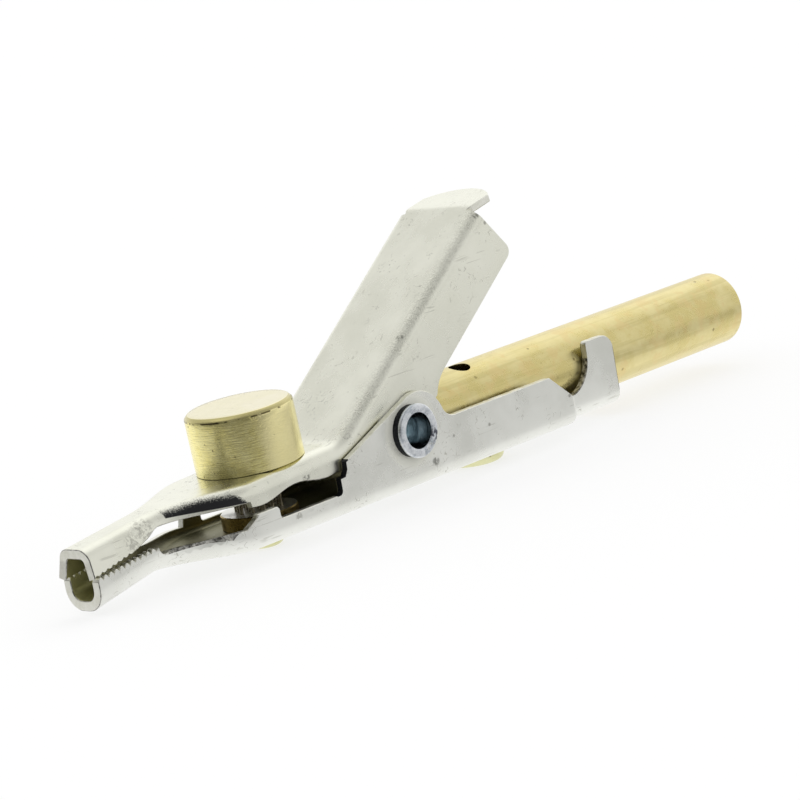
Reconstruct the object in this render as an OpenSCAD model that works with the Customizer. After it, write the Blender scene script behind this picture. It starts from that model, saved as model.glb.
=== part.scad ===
// Bed of nails test clip: a sprung clip whose lower jaw carries a disc of needle pins
// Lengths are in millimetres and angles in degrees, X runs to the rear and Z up
// The origin lies under the middle of the clip, on the surface that it rests on

/* [Sheet metal] */
// Thickness of the plated steel sheet
sheet_t = 0.6; // [0.4:0.05:0.8]
// Outside radius of the long bends
bend_r = 1.1; // [0.9:0.05:1.4]
// Gap between each side of the lever and the channel that it swings in
side_gap = 0.1; // [0.05:0.01:0.2]

/* [Channel] */
// Outside width of the channel
channel_w = 10.3; // [9.6:0.1:12]
// Height of the pivot above the underside of the channel
pivot_h = 4.55; // [4.3:0.05:5.5]
// Distance from the pivot to the back end of the side walls
wall_back = 16.8; // [14:0.1:19]
// Radius of the corner at the back end of the side walls
wall_round_r = 0.5; // [0.2:0.1:1]
// Length of the sloped end of the side walls
wall_slope_l = 2.6; // [2:0.1:3.4]
// Length of the neck where the channel narrows to the tube
neck_l = 0.9; // [0.6:0.1:1.4]
// Height of the slit ahead of the grip above the underside
slit_h = 2; // [1.6:0.05:2.3]
// Length of the grip that holds the tube
grip_l = 6.4; // [5.6:0.1:9]
// Height of the grip's ears above the tube's axis
grip_h = 2.2; // [1.9:0.1:2.6]
// Radius of the hollow front edge of the grip's ears
grip_sweep_r = 3; // [2.5:0.1:3.1]
// Radius of the corner at the back of the grip's ears
grip_round_r = 1.3; // [0.6:0.1:1.6]

/* [Pivot ears] */
// Radius of the round ears that carry the pivot
ear_r = 2.8; // [2.6:0.1:3.2]
// Distance that the centre of the ears lies behind the pivot
ear_back = 1.2; // [0.8:0.05:1.3]
// Radius of the hollow corner behind the ears
ear_fillet_r = 1.4; // [0.6:0.1:2]
// Reach of the ears' sloped front edge ahead of the pivot
ear_reach = 7.6; // [6.5:0.1:8]
// Depth of the foot of that edge below the pivot
ear_drop = 0.45; // [0.2:0.05:0.8]
// Depth of the shoulder ahead of that foot below the pivot
shoulder_d = 1.55; // [1.2:0.05:1.8]
// Depth of the small notch between the foot and the shoulder
notch_d = 0.17; // [0.1:0.01:0.3]

/* [Jaws] */
// Reach of the upper jaw's tip ahead of the pivot
jaw_reach = 30.8; // [28:0.1:36]
// Distance that the lower jaw's tip lies behind the upper one
lower_setback = 0.3; // [0:0.1:0.8]
// Outside width of the noses
nose_w = 3.9; // [3.4:0.1:5]
// Length of the noses
nose_l = 6.4; // [5:0.1:8]
// Length over which the noses widen to the full width
flare_l = 7.8; // [6:0.1:9]
// Outside radius of the lower nose's round underside
lower_nose_r = 1.6; // [1:0.1:1.7]
// Rise of the underside at the root of the lower nose
lower_rise = 0.3; // [0:0.05:0.6]
// Droop of the lower nose
lower_droop = 10.3; // [4:0.1:14]
// Height of the lower nose at its tip
lower_nose_h = 2.5; // [2:0.05:3]
// Slope of the lower row of teeth
lower_bite = 6; // [4:0.5:9]
// Slope of the upper row of teeth
upper_bite = 11; // [9:0.5:14]
// Gap between the tips of the teeth when the jaws are closed
bite_gap = 0.15; // [0.05:0.01:0.2]
// Number of teeth on the lower nose
lower_teeth = 11; // [7:1:14]
// Number of teeth on the upper nose
upper_teeth = 7; // [5:1:9]
// Depth of the teeth
tooth_d = 0.28; // [0.15:0.01:0.4]

/* [Window] */
// Height of the low wall beside the pins, above the underside
low_wall_h = 1.8; // [1.4:0.05:2.2]
// Dip of the low wall behind the teeth
low_dip = 0.2; // [0.05:0.05:0.4]
// Radius of the hollow corner behind the teeth
low_dip_r = 0.6; // [0.3:0.05:0.9]
// Reach of the window's back edge ahead of the pivot
window_back = 8.3; // [8.2:0.1:9]
// Reach of the window's front edge ahead of the pivot
window_front = 15; // [14.4:0.1:15.4]
// Width of the upright tab at the front of the window
tab_w = 2.2; // [1.6:0.1:2.4]
// Height of that tab above the low wall
tab_h = 0.95; // [0.5:0.05:1.1]
// Length of the slope up to that tab
tab_slope_l = 1; // [0.5:0.1:1.4]
// Radius of the corners of that tab
tab_round_r = 0.25; // [0.1:0.05:0.4]
// Radius of the window's hollow corners
window_r = 0.35; // [0.2:0.05:0.6]

/* [Lever] */
// Slope of the plate that carries the stud
plate_pitch = 2.5; // [1:0.5:4]
// Height of the plate's top above the pivot
plate_h = 1.23; // [1:0.05:1.6]
// Reach of the bend between the plate and the nose ahead of the pivot
nose_bend = 23.2; // [21:0.1:24]
// Droop of the upper nose
upper_droop = 6.7; // [6:0.1:11]
// Slope of the handle
handle_pitch = 35.9; // [30:0.1:40]
// Height of the handle's top above the pivot
handle_h = 4.83; // [4.4:0.01:5.2]
// Depth of the handle's side walls
handle_d = 5.25; // [4.6:0.05:5.6]
// Length of the handle behind the pivot
handle_l = 19; // [16:0.1:22]
// Radius of the bend between the plate and the handle
elbow_r = 3; // [1.5:0.1:4]
// Radius of the lower back corners of the handle
handle_round_r = 0.7; // [0.3:0.1:1.2]
// Distance that the handle's back edge leans forward at its top
handle_lean = 0.3; // [0.1:0.05:0.6]
// Depth of the plate's edges behind the nose, where its walls are cut away
skirt_front_d = 1; // [0.8:0.05:1.3]
// Depth of those edges at the cheeks
skirt_d = 1.45; // [1.2:0.05:1.8]
// Depth of the cheeks below the pivot
cheek_d = 1.12; // [0.8:0.01:1.5]
// Height of the wave in the cheeks' lower edge
cheek_wave = 0.27; // [0.1:0.01:0.4]
// Length of that wave
cheek_wave_l = 7; // [6:0.1:8]
// Slope of the cheeks' lower edge
cheek_pitch = 1.7; // [0:0.1:3]
// Radius of the cheeks around the pivot
cheek_r = 2.9; // [2.5:0.1:3.3]
// Distance from the cheeks to the lower edge of the handle
heel_l = 0.75; // [0.4:0.05:1.2]
// Extra depth of the handle's lower edge at the cheeks
heel_d = 0.5; // [0.2:0.05:0.55]
// Length over which that extra depth runs out
heel_run = 4.5; // [3:0.1:6]
// Lean of the cuts behind the nose and ahead of the cheeks
nose_cut = 0.1; // [0.05:0.01:0.2]
// Half width of the thumb rest
rest_w = 3.6; // [3:0.1:4]
// Length of the straight sides of the thumb rest
rest_l = 2.75; // [1.5:0.05:4]
// Slope of the thumb rest
rest_pitch = 12; // [4:1:20]
// Bulge of the thumb rest's round end
rest_bulge = 1.7; // [1:0.1:2.4]

/* [Pivot eyelet] */
// Outside radius of the eyelet's barrel
barrel_r = 1.75; // [1.5:0.05:1.95]
// Radius of the hole through the eyelet
eyelet_hole_r = 1.43; // [1.1:0.01:1.45]
// Radius of the eyelet's rolled flanges
flange_r = 2.15; // [2.05:0.05:2.6]
// Radius of the flanges' rolled edges
flange_round_r = 0.25; // [0.1:0.05:0.35]
// Thickness of the flanges
flange_t = 0.75; // [0.4:0.05:0.9]
// Running clearance of the lever around the barrel
pivot_gap = 0.04; // [0.02:0.01:0.08]

/* [Spring] */
// Diameter of the spring wire
wire_d = 0.8; // [0.5:0.05:0.9]
// Gap between the spring's coil and the barrel
coil_gap = 0.25; // [0.15:0.05:0.4]
// Gap between the turns of the coil
turn_gap = 0.08; // [0.04:0.01:0.15]
// Whole turns of the coil
coil_turns = 4; // [3:1:5]
// Slope of the spring's lower leg below the level
lower_leg_pitch = 20; // [12:1:26]
// Length of the spring's upper leg
upper_leg_l = 8; // [6:0.1:10]
// Gap between the ends of the spring and what they push on
leg_gap = 0.05; // [0.03:0.01:0.1]

/* [Stud and pins] */
// Reach of the stud and the pin disc ahead of the pivot
stud_reach = 12.36; // [12:0.05:12.8]
// Radius of the stud
stud_r = 4.18; // [3.6:0.01:4.3]
// Height of the stud
stud_h = 4.67; // [3.5:0.01:6]
// Chamfer around the stud's top
stud_chamfer = 0.35; // [0.1:0.05:0.6]
// Radius of the stems of the stud and the disc
stem_r = 1.1; // [0.8:0.05:1.2]
// Radius of the head below the channel that holds the disc
disc_head_r = 1.5; // [1.4:0.05:2]
// Radius of the pin disc
disc_r = 3; // [2.8:0.05:3.2]
// Thickness of the pin disc
disc_t = 1.15; // [0.9:0.05:1.4]
// Rings of pins around the middle pin
pin_rings = 2; // [1:1:2]
// Distance between neighbouring pins
pin_pitch = 0.9; // [0.8:0.01:1.15]
// Radius of a pin
pin_r = 0.15; // [0.12:0.01:0.25]
// Height of the pins above the disc
pin_h = 1.4; // [0.8:0.05:1.8]
// Length of a pin's sharp tip
pin_tip = 0.6; // [0.3:0.05:0.7]
// Depth of the pins in the disc
pin_seat = 0.8; // [0.5:0.05:0.85]

/* [Socket tube] */
// Outside radius of the tube
tube_r = 3.175; // [2.8:0.005:3.4]
// Radius of the tube's bore, for a plug of 4 mm
bore_r = 2.02; // [1.9:0.01:2.3]
// Depth of that bore
bore_l = 28; // [22:0.5:30]
// Radius of the narrower hole ahead of the bore
core_r = 1.5; // [1.2:0.05:1.7]
// Reach of the tube's open end behind the pivot
tube_reach = 45.5; // [38:0.1:55]
// Reach of the tube's front end behind the pivot
tube_front = 5; // [4.6:0.1:5.6]
// Clearance between the tube and the grip
grip_gap = 0.03; // [0.02:0.01:0.1]
// Reach of the tube's rivet and of the hole above it behind the pivot
rivet_reach = 11.8; // [9:0.1:14]
// Radius of the hole in the tube's top, which also seats the rivet's closed end
access_r = 0.95; // [0.8:0.01:1.2]
// Radius of the tube rivet's shank
rivet_r = 0.6; // [0.4:0.05:0.75]
// Radius of the tube rivet's head below the channel
rivet_head_r = 2.5; // [2:0.05:3]
// Height of the heads below the channel
head_h = 1.2; // [0.8:0.05:1.4]
// Radius of the round edges of those heads
head_round_r = 0.6; // [0.3:0.05:0.7]
// Thickness of the tube's wall under the rivet's closed end
seat_t = 1.2; // [0.9:0.05:1.4]
// Height of the rivet's closed end inside the tube
closed_h = 0.45; // [0.3:0.05:0.5]
// Clearance of a riveted or pressed piece in its hole
press_gap = 0.01; // [0.005:0.005:0.03]

/* [Hidden] */
$fn = 64;
// A cut runs this far past the faces that it opens
over = 1;
// Segments of a bend in a swept section
bend_steps = 4;
// Segments of the flare and of the elbow
sweep_steps = 6;
// Sides of the spring wire and segments of one turn of it
wire_sides = 8;
turn_steps = 18;

// Places in the pivot's own frame, where the pivot axis is at x = 0 and z = 0
floor_z = -pivot_h;
floor_top = floor_z + sheet_t;
half_w = channel_w / 2;
lever_hw = half_w - sheet_t - side_gap;
nose_hw = nose_w / 2;
nose_root = nose_l - jaw_reach;
lower_tip = lower_setback - jaw_reach;
grip_hw = tube_r + grip_gap + sheet_t;
grip_front = wall_back + wall_slope_l + neck_l;
grip_back = grip_front + grip_l;
tube_z = floor_top + grip_gap + tube_r;
rest_drop = max(pivot_h + head_h, -nose_floor(lower_tip));
// The pivot's place in the part's own frame
pivot_x = (jaw_reach - tube_reach) / 2;
pivot_at = [pivot_x, 0, rest_drop];

pin_count = 1 + 3 * pin_rings * (pin_rings + 1);
function pin_name(i) = str("nail_", i < 10 ? "0" : "", i);

plate_c = "#d4d5cf";
brass_c = "#cdb878";
zinc_c = "#b4bcc6";
wire_c = "#8b8d8c";
pin_c = "#c9c4b0";

// Curves
function smooth(s) = let (c = max(0, min(1, s))) c * c * (3 - 2 * c);
function arc(x, z, r, from, to, steps) =
    [for (i = [0:steps]) let (a = from + (to - from) * i / steps) [x + r * cos(a), z + r * sin(a)]];
// The line at a slope whose top lies a height above the pivot, and where two such lines cross
function line_z(x, slope, h) = (h + x * sin(slope)) / cos(slope);
function crossing(a, ha, b, hb) =
    [(ha * cos(b) - hb * cos(a)) / sin(b - a), (ha * sin(b) - hb * sin(a)) / sin(b - a)];

// A U section of sheet, as [across, up] points, opening upwards
function u_section(hw, r, h) = concat(
    [[-hw, h]],
    arc(r - hw, r, r, 180, 270, bend_steps),
    arc(hw - r, r, r, 270, 360, bend_steps),
    [[hw, h], [hw - sheet_t, h]],
    arc(hw - r, r, r - sheet_t, 360, 270, bend_steps),
    arc(r - hw, r, r - sheet_t, 270, 180, bend_steps),
    [[sheet_t - hw, h]]
);
// One station is [x, z, slope, half width, bend radius, wall height]
// side is 1 for a channel that opens upwards and -1 for one that opens downwards
function station(s, side) = [
    for (p = u_section(s[3], s[4], s[5]))
    [s[0] - side * p[1] * sin(s[2]), side * p[0], s[1] + side * p[1] * cos(s[2])]
];
module sheet_sweep(stations, side) {
    rings = [for (s = stations) station(s, side)];
    n = len(rings[0]);
    last = len(rings) - 1;
    walls = [
        for (i = [0:last - 1], j = [0:n - 1])
        [i * n + j, (i + 1) * n + j, (i + 1) * n + (j + 1) % n, i * n + (j + 1) % n]
    ];
    ends = [for (j = [0:n / 2 - 2]) [j, j + 1, n - 2 - j, n - 1 - j]];
    far = last * n;
    polyhedron(
        points = [for (ring = rings) each ring],
        faces = concat(walls, ends, [for (e = ends) [far + e[3], far + e[2], far + e[1], far + e[0]]]),
        convexity = 6
    );
}
// A side view drawn as [x, z] points, cut right across the clip
module across(outline) {
    translate([0, channel_w, 0])
        rotate([90, 0, 0])
            linear_extrude(2 * channel_w)
                polygon(outline);
}
module crosswise(r, length) {
    rotate([90, 0, 0])
        cylinder(r = r, h = length, center = true);
}
// A row of teeth from one point to another, with every other point moved up or down
function teeth(from, to, count, depth) = [
    for (i = [0:2 * count]) let (s = i / (2 * count))
    from + (to - from) * s + [0, i % 2 == 0 ? depth : 0]
];

// The lower jaw's outlines
function nose_floor(x) =
    floor_z + lower_rise - max(0, nose_root - x) * tan(lower_droop);
function channel_floor(x) =
    x < nose_root ? nose_floor(x) : floor_z + lower_rise * (1 - smooth((x - nose_root) / flare_l));
function flare_hw(x, wide) = nose_hw + (wide - nose_hw) * smooth((x - nose_root) / flare_l);
function flare_r(x, r) = r + (bend_r - r) * smooth((x - nose_root) / flare_l);
flare_x = [for (i = [0:sweep_steps]) nose_root + flare_l * i / sweep_steps];
low_z = floor_z + low_wall_h;
bite_tip_z = nose_floor(lower_tip) + lower_nose_h;
bite_root = nose_root - tooth_d;
bite_root_z = bite_tip_z + (bite_root - lower_tip) * tan(lower_bite);
// The front edge of the ears touches their round
ear_foot = [-ear_reach, -ear_drop];
ear_dir = atan2(-ear_foot[1], ear_back - ear_foot[0]);
ear_far = norm([ear_back - ear_foot[0], ear_foot[1]]);
ear_slope = ear_dir + asin(ear_r / ear_far);
// The hollow corner behind the ears touches their round and the walls' top, which is level with the pivot
fillet_x = ear_back + sqrt(pow(ear_r + ear_fillet_r, 2) - pow(ear_fillet_r, 2));
fillet_a = atan2(ear_fillet_r, fillet_x - ear_back);
notch_x = notch_d - ear_reach;
tab_front = -window_front - tab_w;
tab_z = low_z + tab_h;
slope_end = wall_back + wall_slope_l;
slit_z = floor_z + slit_h;
slope_end_z = slit_z + wall_round_r;
grip_top = tube_z + grip_h;
grip_edge = grip_front + grip_sweep_r;
grip_tip_r = sheet_t / 2;
// The front edges of the tab and of the grip's ears lean back by this angle at their tips
tip_lean = 10;
function lower_outline() = concat(
    [[lower_tip, nose_floor(lower_tip) - over]],
    teeth([lower_tip, bite_tip_z], [bite_root, bite_root_z], lower_teeth, -tooth_d),
    arc(nose_root + low_dip_r, low_z - low_dip + low_dip_r, low_dip_r, 180, 270, 4),
    [[tab_front - tab_slope_l, low_z]],
    arc(tab_front + tab_round_r, tab_z - tab_round_r, tab_round_r, 180 - tip_lean, 90, 3),
    arc(-window_front - tab_round_r, tab_z - tab_round_r, tab_round_r, 90, 0, 3),
    arc(window_r - window_front, low_z + window_r, window_r, 180, 270, 4),
    arc(-window_back - window_r, low_z + window_r, window_r, 270, 360, 4),
    [[-window_back, -shoulder_d], [notch_x - 2 * notch_d, -shoulder_d]],
    [[notch_x, -(shoulder_d + ear_drop) / 2], ear_foot],
    arc(ear_back, 0, ear_r, ear_slope + 90, fillet_a, 14),
    arc(fillet_x, ear_fillet_r, ear_fillet_r, 180 + fillet_a, 270, 6),
    arc(wall_back - wall_round_r / 2, -wall_round_r, wall_round_r, 90, 55, 3),
    [[slope_end - wall_round_r / 2, slope_end_z]],
    arc(grip_front, slit_z + grip_sweep_r, grip_sweep_r, 270, 360, 8),
    arc(grip_edge + grip_tip_r, grip_top - grip_tip_r, grip_tip_r, 180 - tip_lean, 90, 3),
    arc(grip_back - grip_round_r, grip_top - grip_round_r, grip_round_r, 90, 0, 6),
    [[grip_back, floor_z - over]]
);

module lower_jaw() {
    wall_h = pivot_h + max(ear_r, grip_top) + over;
    front = lower_tip - over;
    color(plate_c)
        translate(pivot_at)
            difference() {
                intersection() {
                    sheet_sweep(
                        concat(
                            [[front, nose_floor(front), lower_droop, nose_hw, lower_nose_r, wall_h]],
                            [
                                for (x = flare_x)
                                let (half = flare_hw(x, half_w), curve = flare_r(x, lower_nose_r))
                                [x, channel_floor(x), 0, half, curve, wall_h]
                            ],
                            [
                                [slope_end, floor_z, 0, half_w, bend_r, wall_h],
                                [grip_front, floor_z, 0, grip_hw, bend_r, wall_h],
                                [grip_back + over, floor_z, 0, grip_hw, bend_r, wall_h]
                            ]
                        ),
                        1
                    );
                    across(lower_outline());
                }
                crosswise(barrel_r + press_gap, channel_w + 2 * over);
                translate([-stud_reach, 0, floor_z - over])
                    cylinder(r = stem_r + press_gap, h = sheet_t + 2 * over);
                translate([rivet_reach, 0, floor_z - over])
                    cylinder(r = rivet_r + press_gap, h = sheet_t + 2 * over);
            }
}

// The lever's outlines
elbow = crossing(plate_pitch, plate_h, handle_pitch, handle_h);
elbow_turn = handle_pitch - plate_pitch;
elbow_run = elbow_r * tan(elbow_turn / 2);
elbow_c = elbow + [
    -elbow_run * cos(plate_pitch) - elbow_r * sin(plate_pitch),
    -elbow_run * sin(plate_pitch) + elbow_r * cos(plate_pitch)
];
nose_bend_z = line_z(-nose_bend, plate_pitch, plate_h);
function lever_top(x) =
    x < -nose_bend ? nose_bend_z + (x + nose_bend) * tan(upper_droop) : line_z(x, plate_pitch, plate_h);
function along_handle(u, n) =
    [u * cos(handle_pitch) - n * sin(handle_pitch), u * sin(handle_pitch) + n * cos(handle_pitch)];
handle_low = handle_h - handle_d;
upper_tip_z = bite_tip_z + bite_gap - lower_setback * tan(upper_bite);
upper_teeth_end = upper_teeth * 2 * tooth_d - jaw_reach;
function upper_bite_z(x) = upper_tip_z + (x + jaw_reach) * tan(upper_bite);
// The edges behind the nose grow deeper towards the cheeks, whose lower edge is a gentle wave
cheek_front = tab_front + tab_round_r;
function skirt_share(x) = (x - nose_root) / (cheek_front - nose_root);
function skirt_z(x) = lever_top(x) - skirt_front_d - (skirt_d - skirt_front_d) * skirt_share(x);
function cheek_rise(run) = cheek_wave * cos(run * 360 / cheek_wave_l) + run * tan(cheek_pitch);
function cheek_z(x) = cheek_rise(x + stud_reach) - cheek_d;
cheek_x = [for (i = [0:10]) cheek_front - (ear_reach + cheek_front) * i / 10];
heel = cheek_r + heel_l;
// The cheeks' round runs between these two directions
cheek_from = 225;
cheek_to = 340 + handle_pitch;
// The upper row of teeth begins and ends with a tip
upper_row = [for (x = [-jaw_reach, upper_teeth_end]) [x, upper_bite_z(x) + tooth_d]];
function lever_outline() = concat(
    [[-jaw_reach, plate_h + over]],
    teeth(upper_row[0], upper_row[1], upper_teeth, -tooth_d),
    [[nose_root - nose_cut, upper_bite_z(nose_root)], [nose_root + nose_cut, skirt_z(nose_root)]],
    [[cheek_front - nose_cut, skirt_z(cheek_front)]],
    [for (x = cheek_x) [x, cheek_z(x)]],
    arc(0, 0, cheek_r, cheek_from, cheek_to, 14),
    [along_handle(heel, handle_low - heel_d), along_handle(heel + heel_run, handle_low)],
    [along_handle(handle_l - handle_round_r, handle_low)],
    [
        for (p = arc(handle_l - handle_round_r, handle_low + handle_round_r, handle_round_r, 270, 360, 4))
        along_handle(p[0], p[1])
    ],
    [along_handle(handle_l, handle_h / 2), along_handle(handle_l - handle_lean, handle_h + over)],
    [along_handle(elbow_r, handle_h + over)]
);

module lever_sheet() {
    wall_d = handle_h + cheek_r + over;
    elbow_pts = [
        for (i = [0:sweep_steps]) let (a = plate_pitch + elbow_turn * i / sweep_steps)
        [elbow_c[0] + elbow_r * sin(a), elbow_c[1] - elbow_r * cos(a), a, lever_hw, bend_r, wall_d]
    ];
    end = along_handle(handle_l + over, handle_h);
    tip = -jaw_reach - over;
    intersection() {
        sheet_sweep(
            concat(
                [[tip, lever_top(tip), upper_droop, nose_hw, bend_r, wall_d]],
                [for (x = flare_x) [x, lever_top(x), plate_pitch, flare_hw(x, lever_hw), bend_r, wall_d]],
                elbow_pts,
                [[end[0], end[1], handle_pitch, lever_hw, bend_r, wall_d]]
            ),
            -1
        );
        across(lever_outline());
    }
}
module thumb_rest() {
    bulge_r = (rest_w * rest_w + rest_bulge * rest_bulge) / (2 * rest_bulge);
    at = along_handle(handle_l - handle_lean, handle_h);
    translate([at[0], 0, at[1]])
        rotate([0, -rest_pitch, 0])
            translate([0, 0, -sheet_t])
                linear_extrude(sheet_t)
                    intersection() {
                        translate([-sheet_t / 2, -rest_w])
                            square([rest_l + rest_bulge + sheet_t, 2 * rest_w]);
                        translate([rest_l + rest_bulge - bulge_r, 0])
                            circle(r = bulge_r);
                    }
}
module upper_lever() {
    color(plate_c)
        translate(pivot_at)
            difference() {
                union() {
                    lever_sheet();
                    thumb_rest();
                }
                crosswise(barrel_r + pivot_gap, channel_w);
                on_plate()
                    translate([0, 0, -sheet_t - over])
                        cylinder(r = stem_r + press_gap, h = sheet_t + 2 * over);
            }
}
// Places a piece on the plate's top, square to it, on the stud's axis
module on_plate() {
    translate([-stud_reach, 0, line_z(-stud_reach, plate_pitch, plate_h)])
        rotate([0, -plate_pitch, 0])
            children();
}

module pivot_eyelet() {
    round_r = flange_round_r;
    color(zinc_c)
        translate(pivot_at)
            rotate([90, 0, 0])
                difference() {
                    union() {
                        cylinder(r = barrel_r, h = channel_w + flange_t, center = true);
                        for (side = [0, 1])
                            mirror([0, 0, side])
                                translate([0, 0, half_w])
                                    rotate_extrude()
                                        polygon(concat(
                                            [[0, 0], [flange_r, 0]],
                                            arc(flange_r - round_r, flange_t - round_r, round_r, 0, 90, 6),
                                            [[0, flange_t]]
                                        ));
                    }
                    cylinder(r = eyelet_hole_r, h = channel_w + 2 * (flange_t + over), center = true);
                }
}

// The spring is wound around the barrel, from its lower leg to its upper leg
coil_r = barrel_r + coil_gap + wire_d / 2;
coil_pitch = wire_d + turn_gap;
lower_leg_a = 270 - lower_leg_pitch;
lower_leg_l = (floor_top + wire_d / 2 + leg_gap + coil_r * cos(lower_leg_pitch)) / -sin(lower_leg_pitch);
leg_reach = handle_h - sheet_t - wire_d / 2 - leg_gap - coil_r;
upper_leg_pitch = handle_pitch + asin(leg_reach / upper_leg_l);
wind_from = lower_leg_a;
wind_to = 90 + upper_leg_pitch - 360 * coil_turns;
coil_steps = ceil((wind_from - wind_to) * turn_steps / 360);
coil_half = coil_pitch * (wind_from - wind_to) / 720;
// One ring of the wire is its middle and the direction that points out from the coil's middle
wire_path = concat(
    [[
        [
            coil_r * cos(wind_from) + lower_leg_l * cos(lower_leg_pitch),
            -coil_half,
            coil_r * sin(wind_from) - lower_leg_l * sin(lower_leg_pitch)
        ],
        wind_from
    ]],
    [
        for (i = [0:coil_steps]) let (s = i / coil_steps, a = wind_from + (wind_to - wind_from) * s)
        [[coil_r * cos(a), coil_half * (2 * s - 1), coil_r * sin(a)], a]
    ],
    [[
        [
            coil_r * cos(wind_to) + upper_leg_l * cos(upper_leg_pitch),
            coil_half,
            coil_r * sin(wind_to) + upper_leg_l * sin(upper_leg_pitch)
        ],
        wind_to
    ]]
);
module torsion_spring() {
    n = wire_sides;
    last = len(wire_path) - 1;
    color(wire_c)
        translate(pivot_at)
            polyhedron(
                points = [
                    for (w = wire_path, j = [0:n - 1]) let (b = 360 * j / n, out = wire_d / 2 * cos(b))
                    w[0] + [out * cos(w[1]), wire_d / 2 * sin(b), out * sin(w[1])]
                ],
                faces = concat(
                    [
                        for (i = [0:last - 1], j = [0:n - 1])
                        [i * n + j, (i + 1) * n + j, (i + 1) * n + (j + 1) % n, i * n + (j + 1) % n]
                    ],
                    [[for (j = [0:n - 1]) j], [for (j = [n - 1:-1:0]) last * n + j]]
                ),
                convexity = 10
            );
}

module contact_stud() {
    color(brass_c)
        translate(pivot_at)
            on_plate()
                rotate_extrude()
                    polygon([
                        [0, -sheet_t],
                        [stem_r, -sheet_t],
                        [stem_r, 0],
                        [stud_r, 0],
                        [stud_r, stud_h - stud_chamfer],
                        [stud_r - stud_chamfer, stud_h],
                        [0, stud_h]
                    ]);
}

// The half outline of a head below the channel, drawn out from the axis and back to the shank
function head_points(head_r, shank_r) = concat(
    [[0, -head_h]],
    arc(head_r - head_round_r, head_round_r - head_h, head_round_r, 270, 360, 6),
    [[head_r, 0], [shank_r, 0]]
);
// Pins stand in rings of six, twelve and so on around the middle one
function ring_of(i) = i == 1 ? 0 : i <= 7 ? 1 : 2;
function ring_spot(ring, k) =
    let (side = floor(k / ring), along = k % ring, a = 60 * side)
    pin_pitch * [ring * cos(a) + along * cos(a + 120), ring * sin(a) + along * sin(a + 120)];
function pin_spot(i) = i == 1 ? [0, 0] : ring_spot(ring_of(i), i - 2 - 3 * ring_of(i) * (ring_of(i) - 1));
module at_disc() {
    translate(pivot_at + [-stud_reach, 0, floor_top])
        children();
}
module nail_disc() {
    color(brass_c)
        at_disc()
            difference() {
                translate([0, 0, -sheet_t])
                    rotate_extrude()
                        polygon(concat(
                            head_points(disc_head_r, stem_r),
                            [[stem_r, sheet_t], [disc_r, sheet_t]],
                            [[disc_r, sheet_t + disc_t], [0, sheet_t + disc_t]]
                        ));
                for (i = [1:pin_count])
                    translate([pin_spot(i)[0], pin_spot(i)[1], disc_t - pin_seat])
                        cylinder(r = pin_r + press_gap, h = pin_seat + over);
            }
}
module nail(i) {
    length = pin_seat + pin_h;
    color(pin_c)
        at_disc()
            translate([pin_spot(i)[0], pin_spot(i)[1], disc_t - pin_seat])
                rotate_extrude()
                    polygon([
                        [0, 0],
                        [pin_r, 0],
                        [pin_r, length - pin_tip],
                        [pin_r / 5, length],
                        [0, length]
                    ]);
}

module socket_tube() {
    length = tube_reach - tube_front;
    color(brass_c)
        translate(pivot_at + [0, 0, tube_z])
            difference() {
                translate([tube_front, 0, 0])
                    rotate([0, 90, 0])
                        cylinder(r = tube_r, h = length);
                translate([tube_front - over, 0, 0])
                    rotate([0, 90, 0])
                        cylinder(r = core_r, h = length);
                translate([tube_reach - bore_l, 0, 0])
                    rotate([0, 90, 0])
                        cylinder(r = bore_r, h = bore_l + over);
                translate([rivet_reach, 0, seat_t - tube_r])
                    cylinder(r = access_r, h = 2 * tube_r);
                translate([rivet_reach, 0, -tube_r - over])
                    cylinder(r = rivet_r + press_gap, h = tube_r);
            }
}
module tube_rivet() {
    grip = sheet_t + grip_gap + seat_t;
    closed_r = access_r - press_gap;
    color(brass_c)
        translate(pivot_at + [rivet_reach, 0, floor_z])
            rotate_extrude()
                polygon(concat(
                    head_points(rivet_head_r, rivet_r),
                    [[rivet_r, grip], [closed_r, grip], [closed_r, grip + closed_h], [0, grip + closed_h]]
                ));
}

lower_jaw();
upper_lever();
pivot_eyelet();
torsion_spring();
contact_stud();
nail_disc();
socket_tube();
tube_rivet();
for (i = [1:pin_count])
    nail(i);
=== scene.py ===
import math
from types import SimpleNamespace

import bmesh
import bpy
import numpy as np
from mathutils import Matrix, Vector


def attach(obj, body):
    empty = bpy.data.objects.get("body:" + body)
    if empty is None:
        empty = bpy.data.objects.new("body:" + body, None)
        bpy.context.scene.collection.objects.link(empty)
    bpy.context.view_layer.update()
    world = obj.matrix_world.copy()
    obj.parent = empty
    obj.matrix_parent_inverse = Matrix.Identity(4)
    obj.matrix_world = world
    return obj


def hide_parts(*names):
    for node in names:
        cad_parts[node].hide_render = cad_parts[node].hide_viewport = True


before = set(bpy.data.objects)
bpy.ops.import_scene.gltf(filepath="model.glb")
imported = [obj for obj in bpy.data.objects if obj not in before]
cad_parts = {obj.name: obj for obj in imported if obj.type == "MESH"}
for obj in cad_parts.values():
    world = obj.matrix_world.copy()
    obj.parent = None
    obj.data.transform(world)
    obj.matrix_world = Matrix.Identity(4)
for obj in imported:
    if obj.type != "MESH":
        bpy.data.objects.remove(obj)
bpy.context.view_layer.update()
print("frame loaded")

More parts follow.
